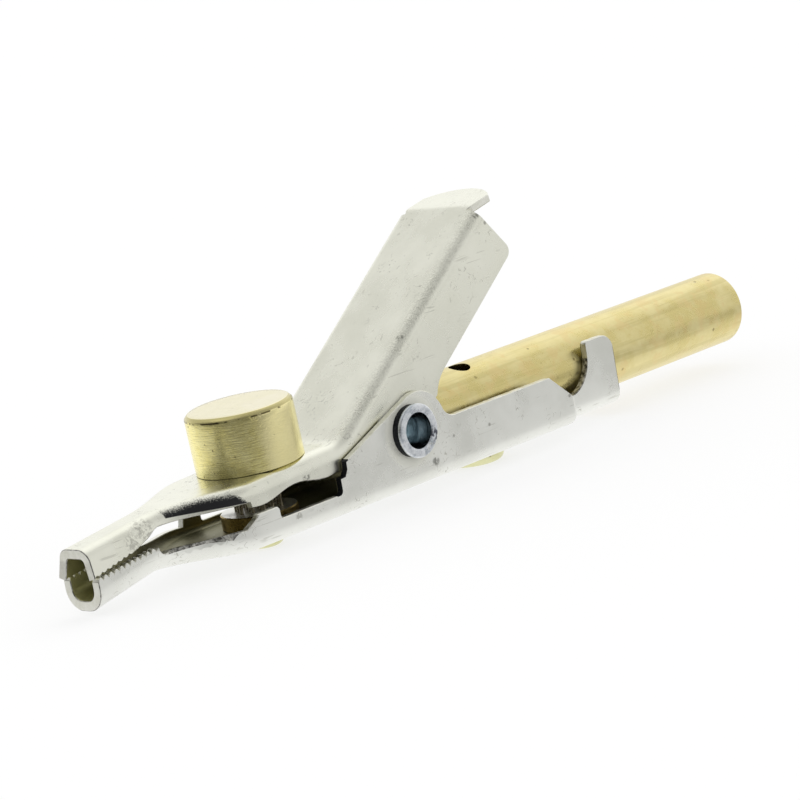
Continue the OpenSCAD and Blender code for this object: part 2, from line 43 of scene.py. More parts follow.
# Sizes that several pieces share, in millimetres and degrees, with the pivot axis at x = 0 and z = 0
clip = {
    "pivot": (-7.35, 0.0, 5.75),
    "sheet": 0.6,
    "tipSheet": 0.76,
    "tipFrom": -27.0,
    "tipRun": 2.5,
    "bend": 1.1,
    "noseRoot": -24.4,
    "noseHalf": 1.95,
    "flare": 7.8,
    "platePitch": 2.5,
    "plateHeight": 1.23,
    "studReach": 12.36,
    "floor": -4.55,
    "tubeZ": -0.745,
    "rivetReach": 11.8,
    "barrel": 1.75,
    "pinReach": 8.0,
}
mm = 0.001


def inFrame(points):
    return (np.asarray(points, float) + np.array(clip["pivot"])) * mm


def spotInFrame(x, y, z):
    return tuple(inFrame([(x, y, z)])[0])


def smooth(s):
    c = min(1.0, max(0.0, s))
    return c * c * (3 - 2 * c)


def blend(a, b, share):
    return a + (b - a) * smooth(share)


def arcPoints(x, z, r, start, end, steps):
    angles = np.radians(np.linspace(start, end, steps + 1))
    return [(x + r * math.cos(a), z + r * math.sin(a)) for a in angles]


def lineHeight(x, slope, height):
    a = math.radians(slope)
    return (height + x * math.sin(a)) / math.cos(a)


# A size at x, between its value at the nose's root and its value where the walls run straight
def flared(x, narrow, wide):
    return blend(narrow, wide, (x - clip["noseRoot"]) / clip["flare"])


# The sheet is a little thicker where the noses are upset at their tips
def sheetAt(x):
    return blend(clip["sheet"], clip["tipSheet"], (clip["tipFrom"] - x) / clip["tipRun"])


# Long stretches of two outlines get more points in step, so that the sheet bends smoothly
def denser(first, second, step):
    found = [first[:1], second[:1]]
    for i in range(len(first) - 1):
        ends = [np.array(line[i : i + 2]) for line in (first, second)]
        count = max(1, max(math.ceil(math.dist(*pair) / step) for pair in ends))
        for line, (a, b) in zip(found, ends):
            line += [tuple(a + (b - a) * k / count) for k in range(1, count + 1)]
    return found


plateZ = lineHeight(-clip["studReach"], clip["platePitch"], clip["plateHeight"])


# Node trees: the helpers draw in the tree that was begun last
drawing = SimpleNamespace(tree=None)


# A node or a socket is linked, and anything else is set as a value
def join(value, socket):
    if isinstance(value, bpy.types.Node):
        value = value.outputs[0]
    if isinstance(value, bpy.types.NodeSocket):
        drawing.tree.links.new(value, socket)
    elif socket.type == "RGBA":
        socket.default_value = (*value, 1.0)
    else:
        socket.default_value = value


def put(kind, inputs=None, **settings):
    node = drawing.tree.nodes.new(kind)
    for key, value in settings.items():
        setattr(node, key, value)
    for key, value in (inputs or {}).items():
        join(value, node.inputs[key])
    return node


def math2(operation, a, b=0.0, clamp=False):
    return put("ShaderNodeMath", {0: a, 1: b}, operation=operation, use_clamp=clamp).outputs[0]


def times(first, *others):
    for value in others:
        first = math2("MULTIPLY", first, value)
    return first


def plus(a, b):
    return math2("ADD", a, b)


def minus(a, b):
    return math2("SUBTRACT", a, b)


def ramp(value, low, high, start=0.0, end=1.0):
    inputs = {"Value": value, "From Min": low, "From Max": high, "To Min": start, "To Max": end}
    return put("ShaderNodeMapRange", inputs, interpolation_type="SMOOTHSTEP").outputs["Result"]


def mixColours(share, a, b):
    return put("ShaderNodeMix", {0: share, 6: a, 7: b}, data_type="RGBA").outputs[2]


def greyOf(level):
    return put("ShaderNodeCombineColor", {0: level, 1: level, 2: level}).outputs[0]


def noise(place, scale, detail=2.0, roughness=0.5):
    inputs = {"Vector": place, "Scale": scale, "Detail": detail, "Roughness": roughness}
    return put("ShaderNodeTexNoise", inputs).outputs["Fac"]


def split(vector):
    return put("ShaderNodeSeparateXYZ", {"Vector": vector}).outputs


def combine(x=0.0, y=0.0, z=0.0):
    return put("ShaderNodeCombineXYZ", {"X": x, "Y": y, "Z": z}).outputs[0]


def vectorMath(operation, a, b=(0.0, 0.0, 0.0)):
    outputs = put("ShaderNodeVectorMath", {0: a, 1: b}, operation=operation).outputs
    return outputs["Value" if operation in ("LENGTH", "DISTANCE", "DOT_PRODUCT") else "Vector"]


def toward(place, side):
    return vectorMath("DOT_PRODUCT", place, tuple(Vector(side).normalized()))


# Inputs without a value are vectors, and the others are numbers
def newGroup(name, inputs, outputs, kind="ShaderNodeTree"):
    tree = bpy.data.node_groups.new(name, kind)
    drawing.tree = tree
    for label, value in inputs.items():
        socketType = "NodeSocketVector" if value is None else "NodeSocketFloat"
        socket = tree.interface.new_socket(name=label, in_out="INPUT", socket_type=socketType)
        if value is not None:
            socket.default_value = value
    for label in outputs:
        socketType = "NodeSocketGeometry" if label == "Geometry" else "NodeSocketFloat"
        tree.interface.new_socket(name=label, in_out="OUTPUT", socket_type=socketType)
    return tree, tree.nodes.new("NodeGroupInput").outputs, tree.nodes.new("NodeGroupOutput").inputs


# Shared effect: short scratches in one direction and clusters of curled scuffs
scuffing = {
    "lineLimit": 0.78,
    "lineGain": 0.3,
    "lineSoft": 0.05,
    "breakScale": 510.0,
    "breaks": (0.5, 0.64, 0.0, 0.6),
    "curlWidth": (0.008, 0.026),
    "curlGaps": (0.47, 0.55),
    "clusterScale": 330.0,
    "clusterLimit": 0.67,
    "clusterGain": 0.25,
    "clusterSoft": 0.06,
}


def makeScratches():
    inputs = {"Vector": None, "Along": 150.0, "Across": 4000.0, "Turn": 0.3, "Share": 0.35, "Curl": 1900.0}
    tree, given, made = newGroup("scratches", inputs, ["Mask"])
    place, turn, share = given["Vector"], given["Turn"], given["Share"]
    scale = combine(given["Along"], given["Across"], given["Across"])
    inputs = {"Vector": place, "Rotation": combine(turn, turn, turn), "Scale": scale}
    lines = noise(put("ShaderNodeMapping", inputs), 1.0)
    low = minus(scuffing["lineLimit"], times(share, scuffing["lineGain"]))
    sharp = ramp(lines, low, plus(low, scuffing["lineSoft"]))
    breaks = noise(place, scuffing["breakScale"], 1.0)
    sharp = times(sharp, ramp(breaks, *scuffing["breaks"]))
    curls = noise(place, given["Curl"], 1.5)
    off = math2("ABSOLUTE", minus(curls, 0.5))
    start = minus(scuffing["clusterLimit"], times(share, scuffing["clusterGain"]))
    cluster = noise(place, scuffing["clusterScale"], 3.0, 0.7)
    kept = ramp(cluster, start, plus(start, scuffing["clusterSoft"]))
    gaps = put("ShaderNodeSeparateColor", {"Color": curls.node.outputs["Color"]}).outputs[1]
    curled = ramp(off, *scuffing["curlWidth"], 1.0, 0.0)
    curled = times(curled, kept, ramp(gaps, *scuffing["curlGaps"]))
    join(math2("MAXIMUM", sharp, curled), made["Mask"])
    return tree


# Shared effect: soft patches and a fine grain
def makeMottle():
    inputs = {"Vector": None, "Patch Scale": 220.0, "Grain Scale": 5200.0, "Grain Share": 0.3}
    tree, given, made = newGroup("mottle", inputs, ["Value", "Grain"])
    patch = noise(given["Vector"], given["Patch Scale"], 4.0, 0.6)
    grain = noise(given["Vector"], given["Grain Scale"], 2.0, 0.7)
    spread = times(minus(grain, 0.5), given["Grain Share"])
    join(math2("ADD", ramp(patch, 0.32, 0.68), spread, True), made["Value"])
    join(grain, made["Grain"])
    return tree


# Shared effect: small dark specks and dents
def makeSpecks():
    inputs = {"Vector": None, "Scale": 900.0, "Size": 0.16, "Share": 0.3}
    tree, given, made = newGroup("specks", inputs, ["Mask"])
    inputs = {"Vector": given["Vector"], "Scale": given["Scale"], "Randomness": 1.0}
    cells = put("ShaderNodeTexVoronoi", inputs).outputs
    size = given["Size"]
    spot = ramp(cells["Distance"], times(size, 0.4), size, 1.0, 0.0)
    pick = put("ShaderNodeSeparateColor", {"Color": cells["Color"]})
    join(times(spot, math2("LESS_THAN", pick, given["Share"])), made["Mask"])
    return tree


scratchGroup, mottleGroup, speckGroup = makeScratches(), makeMottle(), makeSpecks()


def useGroup(group, place, inputs):
    return put("ShaderNodeGroup", {"Vector": place, **inputs}, node_tree=group).outputs


def newMaterial(name):
    material = bpy.data.materials.new(name)
    material.use_nodes = True
    drawing.tree = material.node_tree
    drawing.tree.nodes.clear()
    return material, put("ShaderNodeTexCoord").outputs["Object"]


# One recipe for the metals: two tones, scratches, specks and a bumpy grain
def metal(name, look):
    material, place = newMaterial(name)
    inputs = {"Patch Scale": look["patch"], "Grain Share": look["grain"]}
    patches = useGroup(mottleGroup, place, inputs)
    inputs = {"Along": look["along"], "Across": look["across"], "Turn": look["turn"]}
    lines = useGroup(scratchGroup, place, {"Share": look["scratch"], **inputs})["Mask"]
    spots = useGroup(speckGroup, place, {"Scale": look["speckScale"], "Share": look["specks"]})["Mask"]
    height = times(patches["Grain"], look["bumpGrain"])
    height = minus(height, times(lines, look["scratchDepth"]))
    coat = SimpleNamespace(material=material, place=place, depth=look["depth"], metallic=1.0)
    coat.height = minus(height, spots)
    coat.rough = ramp(patches["Value"], 0.0, 1.0, *look["rough"])
    coat.colour = mixColours(patches["Value"], look["tone"], look["tone2"])
    tint(coat, times(lines, look["scratchTone"]), look["scratchColour"])
    tint(coat, times(spots, look["dirtShare"]), look["dirt"])
    return coat


def tint(coat, share, colour):
    coat.colour = mixColours(share, coat.colour, colour)


def finishMetal(coat):
    bump = put("ShaderNodeBump", {"Strength": 1.0, "Distance": coat.depth, "Height": coat.height})
    inputs = {"Base Color": coat.colour, "Metallic": coat.metallic, "Roughness": coat.rough, "Normal": bump}
    shader = put("ShaderNodeBsdfPrincipled", inputs)
    put("ShaderNodeOutputMaterial", {"Surface": shader})
    return coat.material


def plainMetal(name, look, **changes):
    return finishMetal(metal(name, dict(look, **changes)))


nickelLook = {
    "patch": 190.0,
    "grain": 0.35,
    "along": 130.0,
    "across": 3600.0,
    "turn": 0.5,
    "scratch": 0.5,
    "scratchTone": 0.7,
    "scratchColour": (0.50, 0.495, 0.43),
    "scratchDepth": 0.6,
    "speckScale": 700.0,
    "specks": 0.1,
    "dirt": (0.30, 0.29, 0.26),
    "dirtShare": 0.7,
    "rough": (0.23, 0.34),
    "bumpGrain": 0.5,
    "depth": 0.000012,
}

# The painted shade along the lip behind the nose, a dark band that stands in for the lip's dark reflection,
# in millimetres from the pivot
lip = {
    "front": -23.2,
    "back": -17.1,
    "backSoft": 0.35,
    "slant": 1.15,
    "low": -0.52,
    "fall": -0.069,
    "heights": (0.64, 1.0),
    "growth": 3.0,
    "topEdge": (-0.42, 0.04),
    "lowEdge": (0.0, 0.05),
    "frontEdge": (0.0, 0.1),
    "frontLean": 0.12,
    "grain": 9000.0,
    "spread": 0.9,
    "tone": (0.042, 0.042, 0.044),
    "rough": 0.55,
}


# X and Z in millimetres from the pivot
def fromPivot(place):
    parts = split(place)
    return [minus(times(parts[axis], 1 / mm), clip["pivot"][axis]) for axis in (0, 2)]


# Mask of the painted shade along the lip
def lipShadeMask(place):
    x, z = fromPivot(place)
    along = minus(x, lip["front"])
    over = minus(z, plus(times(along, lip["fall"]), lip["low"]))
    grain = noise(place, lip["grain"], 2.0, 0.7)
    loose = times(minus(grain, 0.5), lip["spread"])
    top = ramp(along, 0.0, lip["growth"], *lip["heights"])
    mask = ramp(minus(plus(over, loose), top), *lip["topEdge"], 1.0, 0.0)
    ahead = plus(along, times(over, lip["frontLean"]))
    mask = times(mask, ramp(over, *lip["lowEdge"]), ramp(ahead, *lip["frontEdge"]))
    reach = plus(plus(x, loose), times(over, lip["slant"]))
    return times(mask, ramp(reach, lip["back"] - lip["backSoft"], lip["back"], 1.0, 0.0))


# Distance in millimetres from a line across the part, at x and z from the pivot
def away(place, x, z):
    spanX, spanZ = fromPivot(place)
    return vectorMath("LENGTH", combine(minus(spanX, x), minus(spanZ, z)))


# Small dents and scuffs, where the dark spots of the dents are painted shade: x, y and z in millimetres from
# the pivot, and the radius
marks = {
    "dentShade": {
        "spots": [
            (1.75, -4.02, 6.95, 0.42),
            (2.11, -5.15, -3.0, 0.5),
            (-11.1, -4.45, -0.72, 0.5),
            (12.4, -4.23, 14.4, 0.36),
        ],
        "grain": 2600.0,
        "contrast": (0.43, 0.57),
        "share": 0.7,
        "tone": (0.11, 0.11, 0.095),
    },
    "scuffs": {
        "spots": [(-25.2, -1.62, -0.75, 1.3), (-26.6, -1.75, -1.35, 0.9), (-13.2, -5.15, -3.1, 0.45)],
        "grain": 3400.0,
        "contrast": (0.43, 0.57),
        "share": 0.6,
        "tone": (0.36, 0.355, 0.31),
    },
}


def markMask(place, mark):
    mask = 0.0
    for x, y, z, r in mark["spots"]:
        near = vectorMath("DISTANCE", place, spotInFrame(x, y, z))
        mask = math2("MAXIMUM", mask, ramp(near, r * mm, 0.4 * r * mm))
    grain = noise(place, mark["grain"], 3.0, 0.7)
    return times(mask, ramp(grain, *mark["contrast"]), mark["share"])


# The stretched grain along the handle's bends, and a pale, less metallic ring round the eyelet, which is
# painted light that keeps the wall from mirroring the rim's black, in millimetres
folds = {"grain": 6500.0, "contrast": (0.40, 0.60), "share": 0.3, "tone": (0.36, 0.36, 0.31), "depth": 0.8}
eyeletRingLight = {"start": 2.6, "end": 3.25, "share": 0.8, "tone": (0.71, 0.71, 0.63)}


# The outside of the sheet
def makeNickel(name, tone, tone2):
    coat = metal(name, dict(nickelLook, tone=tone, tone2=tone2))
    place = coat.place
    # The dark band is painted shade, and the surface is rougher under it
    lipShade = lipShadeMask(place)
    tint(coat, lipShade, lip["tone"])
    coat.rough = math2("MAXIMUM", coat.rough, times(lipShade, lip["rough"]))
    # The dents' dark spots are painted shade
    for mark in marks.values():
        tint(coat, markMask(place, mark), mark["tone"])
    bent = put("ShaderNodeAttribute", attribute_name="bend").outputs["Fac"]
    grain = noise(place, folds["grain"], 3.0, 0.75)
    pits = times(bent, ramp(grain, *folds["contrast"]))
    tint(coat, times(pits, folds["share"]), folds["tone"])
    coat.height = minus(coat.height, times(pits, folds["depth"]))
    # A pale matte ring round the eyelet: painted light that hides the rim's dark reflection in the wall
    dull = ramp(away(place, 0.0, 0.0), eyeletRingLight["end"], eyeletRingLight["start"], 0.0, eyeletRingLight["share"])
    tint(coat, dull, eyeletRingLight["tone"])
    coat.metallic = minus(1.0, dull)
    return finishMetal(coat)


# The inside of the sheet is duller and darker, but less so toward the tip
insideLook = {"tone": (0.25, 0.24, 0.135), "tone2": (0.35, 0.335, 0.205), "rough": (0.4, 0.55)}
insideTip = {"run": (-25.0, -30.0), "share": 0.8, "tone": (0.66, 0.64, 0.32)}


def makeInside():
    coat = metal("nickelInside", dict(nickelLook, **insideLook))
    x = fromPivot(coat.place)[0]
    tint(coat, ramp(x, *insideTip["run"], 0.0, insideTip["share"]), insideTip["tone"])
    return finishMetal(coat)


# The lever is a little warmer than the jaw
jawNickel = makeNickel("jawNickel", (0.838, 0.842, 0.778), (0.929, 0.934, 0.876))
leverNickel = makeNickel("leverNickel", (0.847, 0.847, 0.732), (0.938, 0.938, 0.825))
inside = makeInside()

# Cut edges show the sheared steel, and the torn edge behind the nose is rough and dark in places; the same
# dark edge is painted shade along the lever's cheeks and beside the grip
cutEdge = plainMetal(
    "nickelEdge",
    nickelLook,
    tone=(0.80, 0.795, 0.70),
    tone2=(0.95, 0.945, 0.87),
    patch=1300.0,
    grain=0.5,
    rough=(0.32, 0.45),
    depth=0.00002,
)
tornEdgeAndShade = plainMetal(
    "tornEdgeAndShade",
    nickelLook,
    tone=(0.10, 0.098, 0.085),
    tone2=(0.74, 0.73, 0.68),
    patch=3000.0,
    grain=1.2,
    rough=(0.4, 0.55),
    depth=0.00003,
)

brassLook = {
    "tone": (0.75, 0.64, 0.27),
    "tone2": (0.86, 0.76, 0.39),
    "patch": 420.0,
    "grain": 0.7,
    "along": 160.0,
    "across": 3800.0,
    "turn": 0.25,
    "scratch": 0.4,
    "scratchTone": 0.5,
    "scratchColour": (0.55, 0.44, 0.16),
    "scratchDepth": 0.6,
    "speckScale": 800.0,
    "specks": 0.16,
    "dirt": (0.20, 0.15, 0.05),
    "dirtShare": 0.7,
    "rough": (0.26, 0.38),
    "bumpGrain": 0.5,
    "depth": 0.000014,
}

# The tube is streaked along its length and has redder patches, and the inside of its bore is painted dark as
# painted shade; lengths in millimetres
tubeLook = {
    "drawn": (70.0, 1500.0, 1500.0),
    "streaks": (0.52, 0.38, 0.0, 0.32),
    "streakTone": (0.55, 0.47, 0.18),
    "patchScale": 520.0,
    "patches": (0.5, 0.62, 0.0, 0.45),
    "patchTone": (0.80, 0.61, 0.27),
    "skin": (3.12, 3.0),
    "mouth": (45.25, 41.35),
    "boreShadeShare": 0.85,
    "boreShadeTone": (0.16, 0.115, 0.035),
}


def makeTubeBrass():
    coat = metal("tubeBrass", brassLook)
    place = coat.place
    drawn = put("ShaderNodeMapping", {"Vector": place, "Scale": tubeLook["drawn"]})
    streak = noise(drawn, 1.0, 3.0, 0.6)
    tint(coat, ramp(streak, *tubeLook["streaks"]), tubeLook["streakTone"])
    patch = noise(place, tubeLook["patchScale"], 4.0, 0.65)
    tint(coat, ramp(patch, *tubeLook["patches"]), tubeLook["patchTone"])
    x, z = fromPivot(place)
    y = times(split(place)["Y"], 1 / mm)
    reach = vectorMath("LENGTH", combine(y, minus(z, clip["tubeZ"])))
    # Painted shade inside the bore, deeper than its mouth
    boreShade = times(ramp(reach, *tubeLook["skin"]), ramp(x, *tubeLook["mouth"]))
    tint(coat, times(boreShade, tubeLook["boreShadeShare"]), tubeLook["boreShadeTone"])
    return finishMetal(coat)


# Turned brass has fine rings around the stud's axis, on its side and on its top, and one side is painted
# lighter with fainter rings, which is painted light
turnedLook = {
    "tone": (0.95, 0.85, 0.34),
    "tone2": (1.0, 0.92, 0.44),
    "patch": 900.0,
    "grain": 0.9,
    "scratch": 0.2,
    "speckScale": 1500.0,
    "specks": 0.4,
    "rough": (0.19, 0.27),
    "depth": 0.00002,
}

# Where the stud changes its colour: heights in millimetres above the plate
studMarks = {
    "rings": {"round": 3.0, "along": 9.5, "dark": (0.52, 0.36), "share": 0.3, "tone": (0.46, 0.38, 0.15)},
    "ringsEnd": (4.6, 4.4, 0.25, 1.0),
    "ringDepth": 0.9,
    "litSide": {"side": (0.342, -0.94, 0.0), "run": (0.60, 0.80), "left": 0.2, "share": 0.8},
    "litSideTone": (1.0, 0.905, 0.495),
    "band": {"low": (4.35, 4.41), "high": (4.64, 4.67), "share": 0.8, "tone": (0.50, 0.44, 0.20)},
    "burr": {"low": (4.24, 4.31), "high": (4.41, 4.37), "tone": (0.16, 0.13, 0.05)},
    "burrGrain": 1400.0,
    "burrContrast": (0.47, 0.56),
    # The paler top is a painted sheen
    "top": {"run": (4.65, 4.67), "share": 0.7, "tone": (0.80, 0.755, 0.60)},
    # The dark line at the stud's foot is a painted contact shadow
    "foot": {"run": (0.08, 0.03), "share": 0.7, "tone": (0.12, 0.10, 0.04)},
}


def makeTurnedBrass():
    coat = metal("turnedBrass", dict(brassLook, **turnedLook))
    place = coat.place
    turn = (0, -math.radians(clip["platePitch"]), 0)
    spot = spotInFrame(-clip["studReach"], 0, plateZ)
    inputs = {"Vector": place, "Location": spot, "Rotation": turn, "Scale": (mm, mm, mm)}
    local = put("ShaderNodeMapping", inputs, vector_type="TEXTURE")
    x, y, up = split(local)
    reach = vectorMath("LENGTH", combine(x, y))
    angle = math2("ARCTAN2", y, times(x, -1.0))
    rings, litSide, band, burr = [studMarks[key] for key in ("rings", "litSide", "band", "burr")]
    level = times(plus(up, reach), rings["along"])
    fine = noise(combine(times(angle, rings["round"]), level), 1.0, 3.0, 0.65)
    # The side toward the front right is painted lighter: painted light
    spread = math2("DIVIDE", toward(local, litSide["side"]), reach)
    unlitShare = ramp(spread, *litSide["run"], 1.0, litSide["left"])
    tint(coat, ramp(spread, *litSide["run"], 0.0, litSide["share"]), studMarks["litSideTone"])
    side = times(unlitShare, ramp(up, *studMarks["ringsEnd"]))
    tint(coat, times(ramp(fine, *rings["dark"]), side, rings["share"]), rings["tone"])
    edge = times(ramp(up, *band["low"]), ramp(up, *band["high"], 1.0, 0.0))
    tint(coat, times(edge, band["share"]), band["tone"])
    ragged = times(ramp(up, *burr["low"]), ramp(up, *burr["high"]))
    grain = noise(place, studMarks["burrGrain"], 3.0)
    tint(coat, times(ragged, ramp(grain, *studMarks["burrContrast"])), burr["tone"])
    # The foot's dark tone is a painted contact shadow, fainter on the painted lit side
    for key, share in (("top", 1.0), ("foot", unlitShare)):
        mark = studMarks[key]
        tint(coat, times(ramp(up, *mark["run"], 0.0, mark["share"]), share), mark["tone"])
    coat.height = plus(coat.height, times(fine, side, studMarks["ringDepth"]))
    return finishMetal(coat)


tubeBrass, turnedBrass = makeTubeBrass(), makeTurnedBrass()
rivetBrass = plainMetal(
    "rivetBrass", brassLook, tone=(0.62, 0.61, 0.33), tone2=(0.76, 0.75, 0.45), scratch=0.2
)

# The disc's side is dark brown, partly with age and partly as painted shade, and its top is painted pale as
# a painted highlight
discSideShade = plainMetal(
    "discSideShade", brassLook, tone=(0.36, 0.26, 0.085), tone2=(0.52, 0.40, 0.15), patch=900.0, scratch=0.2
)
discTopLight = plainMetal(
    "discTopLight",
    nickelLook,
    tone=(0.86, 0.855, 0.80),
    tone2=(0.96, 0.955, 0.91),
    patch=700.0,
    rough=(0.3, 0.45),
)

# The eyelet's plating is scuffed at one spot of its flange, in millimetres from the pivot
zincLook = {
    "tone": (0.52, 0.56, 0.60),
    "tone2": (0.88, 0.90, 0.92),
    "patch": 1600.0,
    "grain": 0.9,
    "specks": 0.25,
    "rough": (0.26, 0.42),
    "depth": 0.00002,
}
zincScuff = {
    "spot": (1.62, -0.75),
    "run": (0.85, 0.25),
    "grain": 4200.0,
    "contrast": (0.42, 0.58),
    "tone": (0.12, 0.125, 0.15),
}


def makeZinc():
    coat = metal("zincPlate", dict(nickelLook, **zincLook))
    place = coat.place
    grain = noise(place, zincScuff["grain"])
    near = ramp(away(place, *zincScuff["spot"]), *zincScuff["run"])
    tint(coat, times(near, ramp(grain, *zincScuff["contrast"])), zincScuff["tone"])
    return finishMetal(coat)


# The bore of the eyelet is smooth, with rings round it
boreLook = {
    "tone": (0.70, 0.78, 0.81),
    "tone2": (0.90, 0.95, 0.97),
    "patch": 500.0,
    "scratchTone": 0.2,
    "rough": (0.12, 0.2),
}
boreRings = {"drawn": (220.0, 2300.0, 220.0), "run": (0.54, 0.46, 0.0, 0.75), "tone": (0.16, 0.21, 0.24)}


def makeBore():
    coat = metal("zincBore", dict(nickelLook, **boreLook))
    drawn = put("ShaderNodeMapping", {"Vector": coat.place, "Scale": boreRings["drawn"]})
    ring = noise(drawn, 1.0)
    tint(coat, ramp(ring, *boreRings["run"]), boreRings["tone"])
    return finishMetal(coat)


zinc, bore = makeZinc(), makeBore()

# The rolled rim's outer side is painted black as its shade, and this black is also painted shade on the
# jaw's notch edge
rimShade = plainMetal(
    "blackRimShade",
    nickelLook,
    tone=(0.012, 0.013, 0.015),
    tone2=(0.03, 0.032, 0.036),
    patch=900.0,
    scratchTone=0.0,
    rough=(0.45, 0.6),
)
wire = plainMetal(
    "springWire",
    nickelLook,
    tone=(0.32, 0.32, 0.31),
    tone2=(0.45, 0.45, 0.43),
    patch=500.0,
    rough=(0.3, 0.42),
)
pinSteel = plainMetal(
    "nailSteel",
    nickelLook,
    tone=(0.20, 0.17, 0.11),
    tone2=(0.38, 0.34, 0.24),
    patch=900.0,
    rough=(0.25, 0.38),
)
print("materials made")


# Meshes
def newObject(name, points, faces, materials):
    mesh = bpy.data.meshes.new(name)
    mesh.from_pydata([tuple(p) for p in points], [], faces)
    for material in materials:
        mesh.materials.append(material)
    obj = bpy.data.objects.new(name, mesh)
    bpy.context.scene.collection.objects.link(obj)
    return obj


# The finished mesh takes the place of the modifiers
def settle(obj, angle):
    bpy.context.view_layer.update()
    made = bpy.data.meshes.new_from_object(obj.evaluated_get(bpy.context.evaluated_depsgraph_get()))
    obj.modifiers.clear()
    old, obj.data = obj.data, made
    made.name = obj.name
    bpy.data.meshes.remove(old)
    made.polygons.foreach_set("use_smooth", [True] * len(made.polygons))
    made.set_sharp_from_angle(angle=math.radians(angle))
    return obj


# The piece is cut by another one, which then goes
def settleCut(obj, cutter, angle):
    cut = obj.modifiers.new("hole", "BOOLEAN")
    cut.operation = "DIFFERENCE"
    cut.solver = "EXACT"
    cut.object = cutter
    settle(obj, angle)
    mesh = cutter.data
    bpy.data.objects.remove(cutter)
    bpy.data.meshes.remove(mesh)
    return obj


# Points that coincide become one, and faces turn outward
def tidy(mesh):
    work = bmesh.new()
    work.from_mesh(mesh)
    bmesh.ops.remove_doubles(work, verts=work.verts, dist=1e-7)
    bmesh.ops.dissolve_degenerate(work, edges=work.edges, dist=1e-8)
    bmesh.ops.recalc_face_normals(work, faces=work.faces)
    work.to_mesh(mesh)
    work.free()


# A round piece from its half outline, as (radius, along) points, closed on the axis or on itself
def lathe(name, outline, steps, place, materials, closed=False):
    points, faces = [], []
    count = len(outline)
    for i in range(steps):
        a = 2 * math.pi * i / steps
        points += [place @ Vector((r * math.cos(a), r * math.sin(a), h)) for r, h in outline]
    for i in range(steps):
        k = (i + 1) % steps
        for j in range(count if closed else count - 1):
            m = (j + 1) % count
            faces.append((i * count + j, k * count + j, k * count + m, i * count + m))
    obj = newObject(name, inFrame(points), faces, materials)
    tidy(obj.data)
    return obj


# Sheet metal: rings of points around the whole thickness, from the far edge over the outside to the near
# edge and back inside
counts = {"flat": 6, "bend": 8, "wall": 8}
edgeRound = 0.06
leastWall = 0.12
creaseAngle = 35
stretch = {"slope": 20.0, "run": 15.0}
skinFace, innerFace, cutFace, tornFaceAndShade, blackShadeFace = range(5)


def sheetRing(st, side):
    a = math.radians(st["slope"])
    out = np.array((-math.sin(a) * side, 0.0, math.cos(a) * side))
    t, inset = st["thick"], st.get("inset", 0.0)
    walls = (st["far"], st["near"])
    starts = [np.array((wall["at"][0], 0.0, wall["at"][1])) for wall in walls]
    middle = (starts[0] + starts[1]) / 2
    outer, inner, edges = [], [], []
    for sign, at, wall in zip((1.0, -1.0), starts, walls):
        across = np.array((0.0, sign, 0.0))
        r = wall["r"]
        flat = wall["half"] - r
        skin, lining = [], []
        for k in range(1, counts["flat"] + 1):
            point = middle + (at - middle + across * flat) * k / counts["flat"]
            skin.append(point - out * inset)
            lining.append(point - out * (t - inset))
        tip = np.array((wall["tip"][0], 0.0, wall["tip"][1]))
        depth = float(np.dot(at - tip, out))
        fold = min(math.radians(st["fold"]), math.acos(max(0.0, 1 - (depth - leastWall) / r)))
        centre = at + across * flat - out * r
        for k in range(1, counts["bend"] + 1):
            b = fold * k / counts["bend"]
            n = across * math.sin(b) + out * math.cos(b)
            skin.append(centre + n * (r - inset))
            lining.append(centre + n * (r - t + inset))
        n = across * math.sin(fold) + out * math.cos(fold)
        foot = centre + n * r
        left = depth - r * (1 - math.cos(fold))
        tip = tip + across * (abs(foot[1]) + left * math.cos(fold) / math.sin(fold) + wall["spread"])
        run = (tip - foot) / np.linalg.norm(tip - foot)
        shown = tip - run * max(edgeRound, wall["slant"])
        for k in range(1, counts["wall"] + 1):
            share = k / counts["wall"]
            skin.append(foot + (shown - foot) * share - n * inset)
            lining.append(foot + (tip - run * edgeRound - foot) * share - n * (t - inset))
        outer.append(skin)
        inner.append(lining)
        edges.append([tip - n * max(edgeRound, inset, wall["slant"]), tip - n * (t - max(edgeRound, inset))])
    top = outer[0][::-1] + [middle - out * inset] + outer[1]
    bottom = inner[1][::-1] + [middle - out * (t - inset)] + inner[0]
    return top + edges[1] + bottom + edges[0][::-1]


def faceKinds(wide):
    return [skinFace] * (wide - 1) + [cutFace] * 2 + [innerFace] * (wide + 1) + [cutFace] * 2


# How much the sheet is stretched at each point: most in the middle of the bends, and only along the handle
def stretched(stations, size):
    turn = [0.0] * counts["flat"]
    turn += [math.sin(math.pi * k / counts["bend"]) for k in range(counts["bend"] + 1)]
    turn += [0.0] * (counts["wall"] - 1)
    across = turn[::-1] + turn[1:] + [0.0] * (size + 1 - 2 * len(turn))
    shares = [smooth((st["slope"] - stretch["slope"]) / stretch["run"]) for st in stations]
    return [value * share for share in shares for value in across]


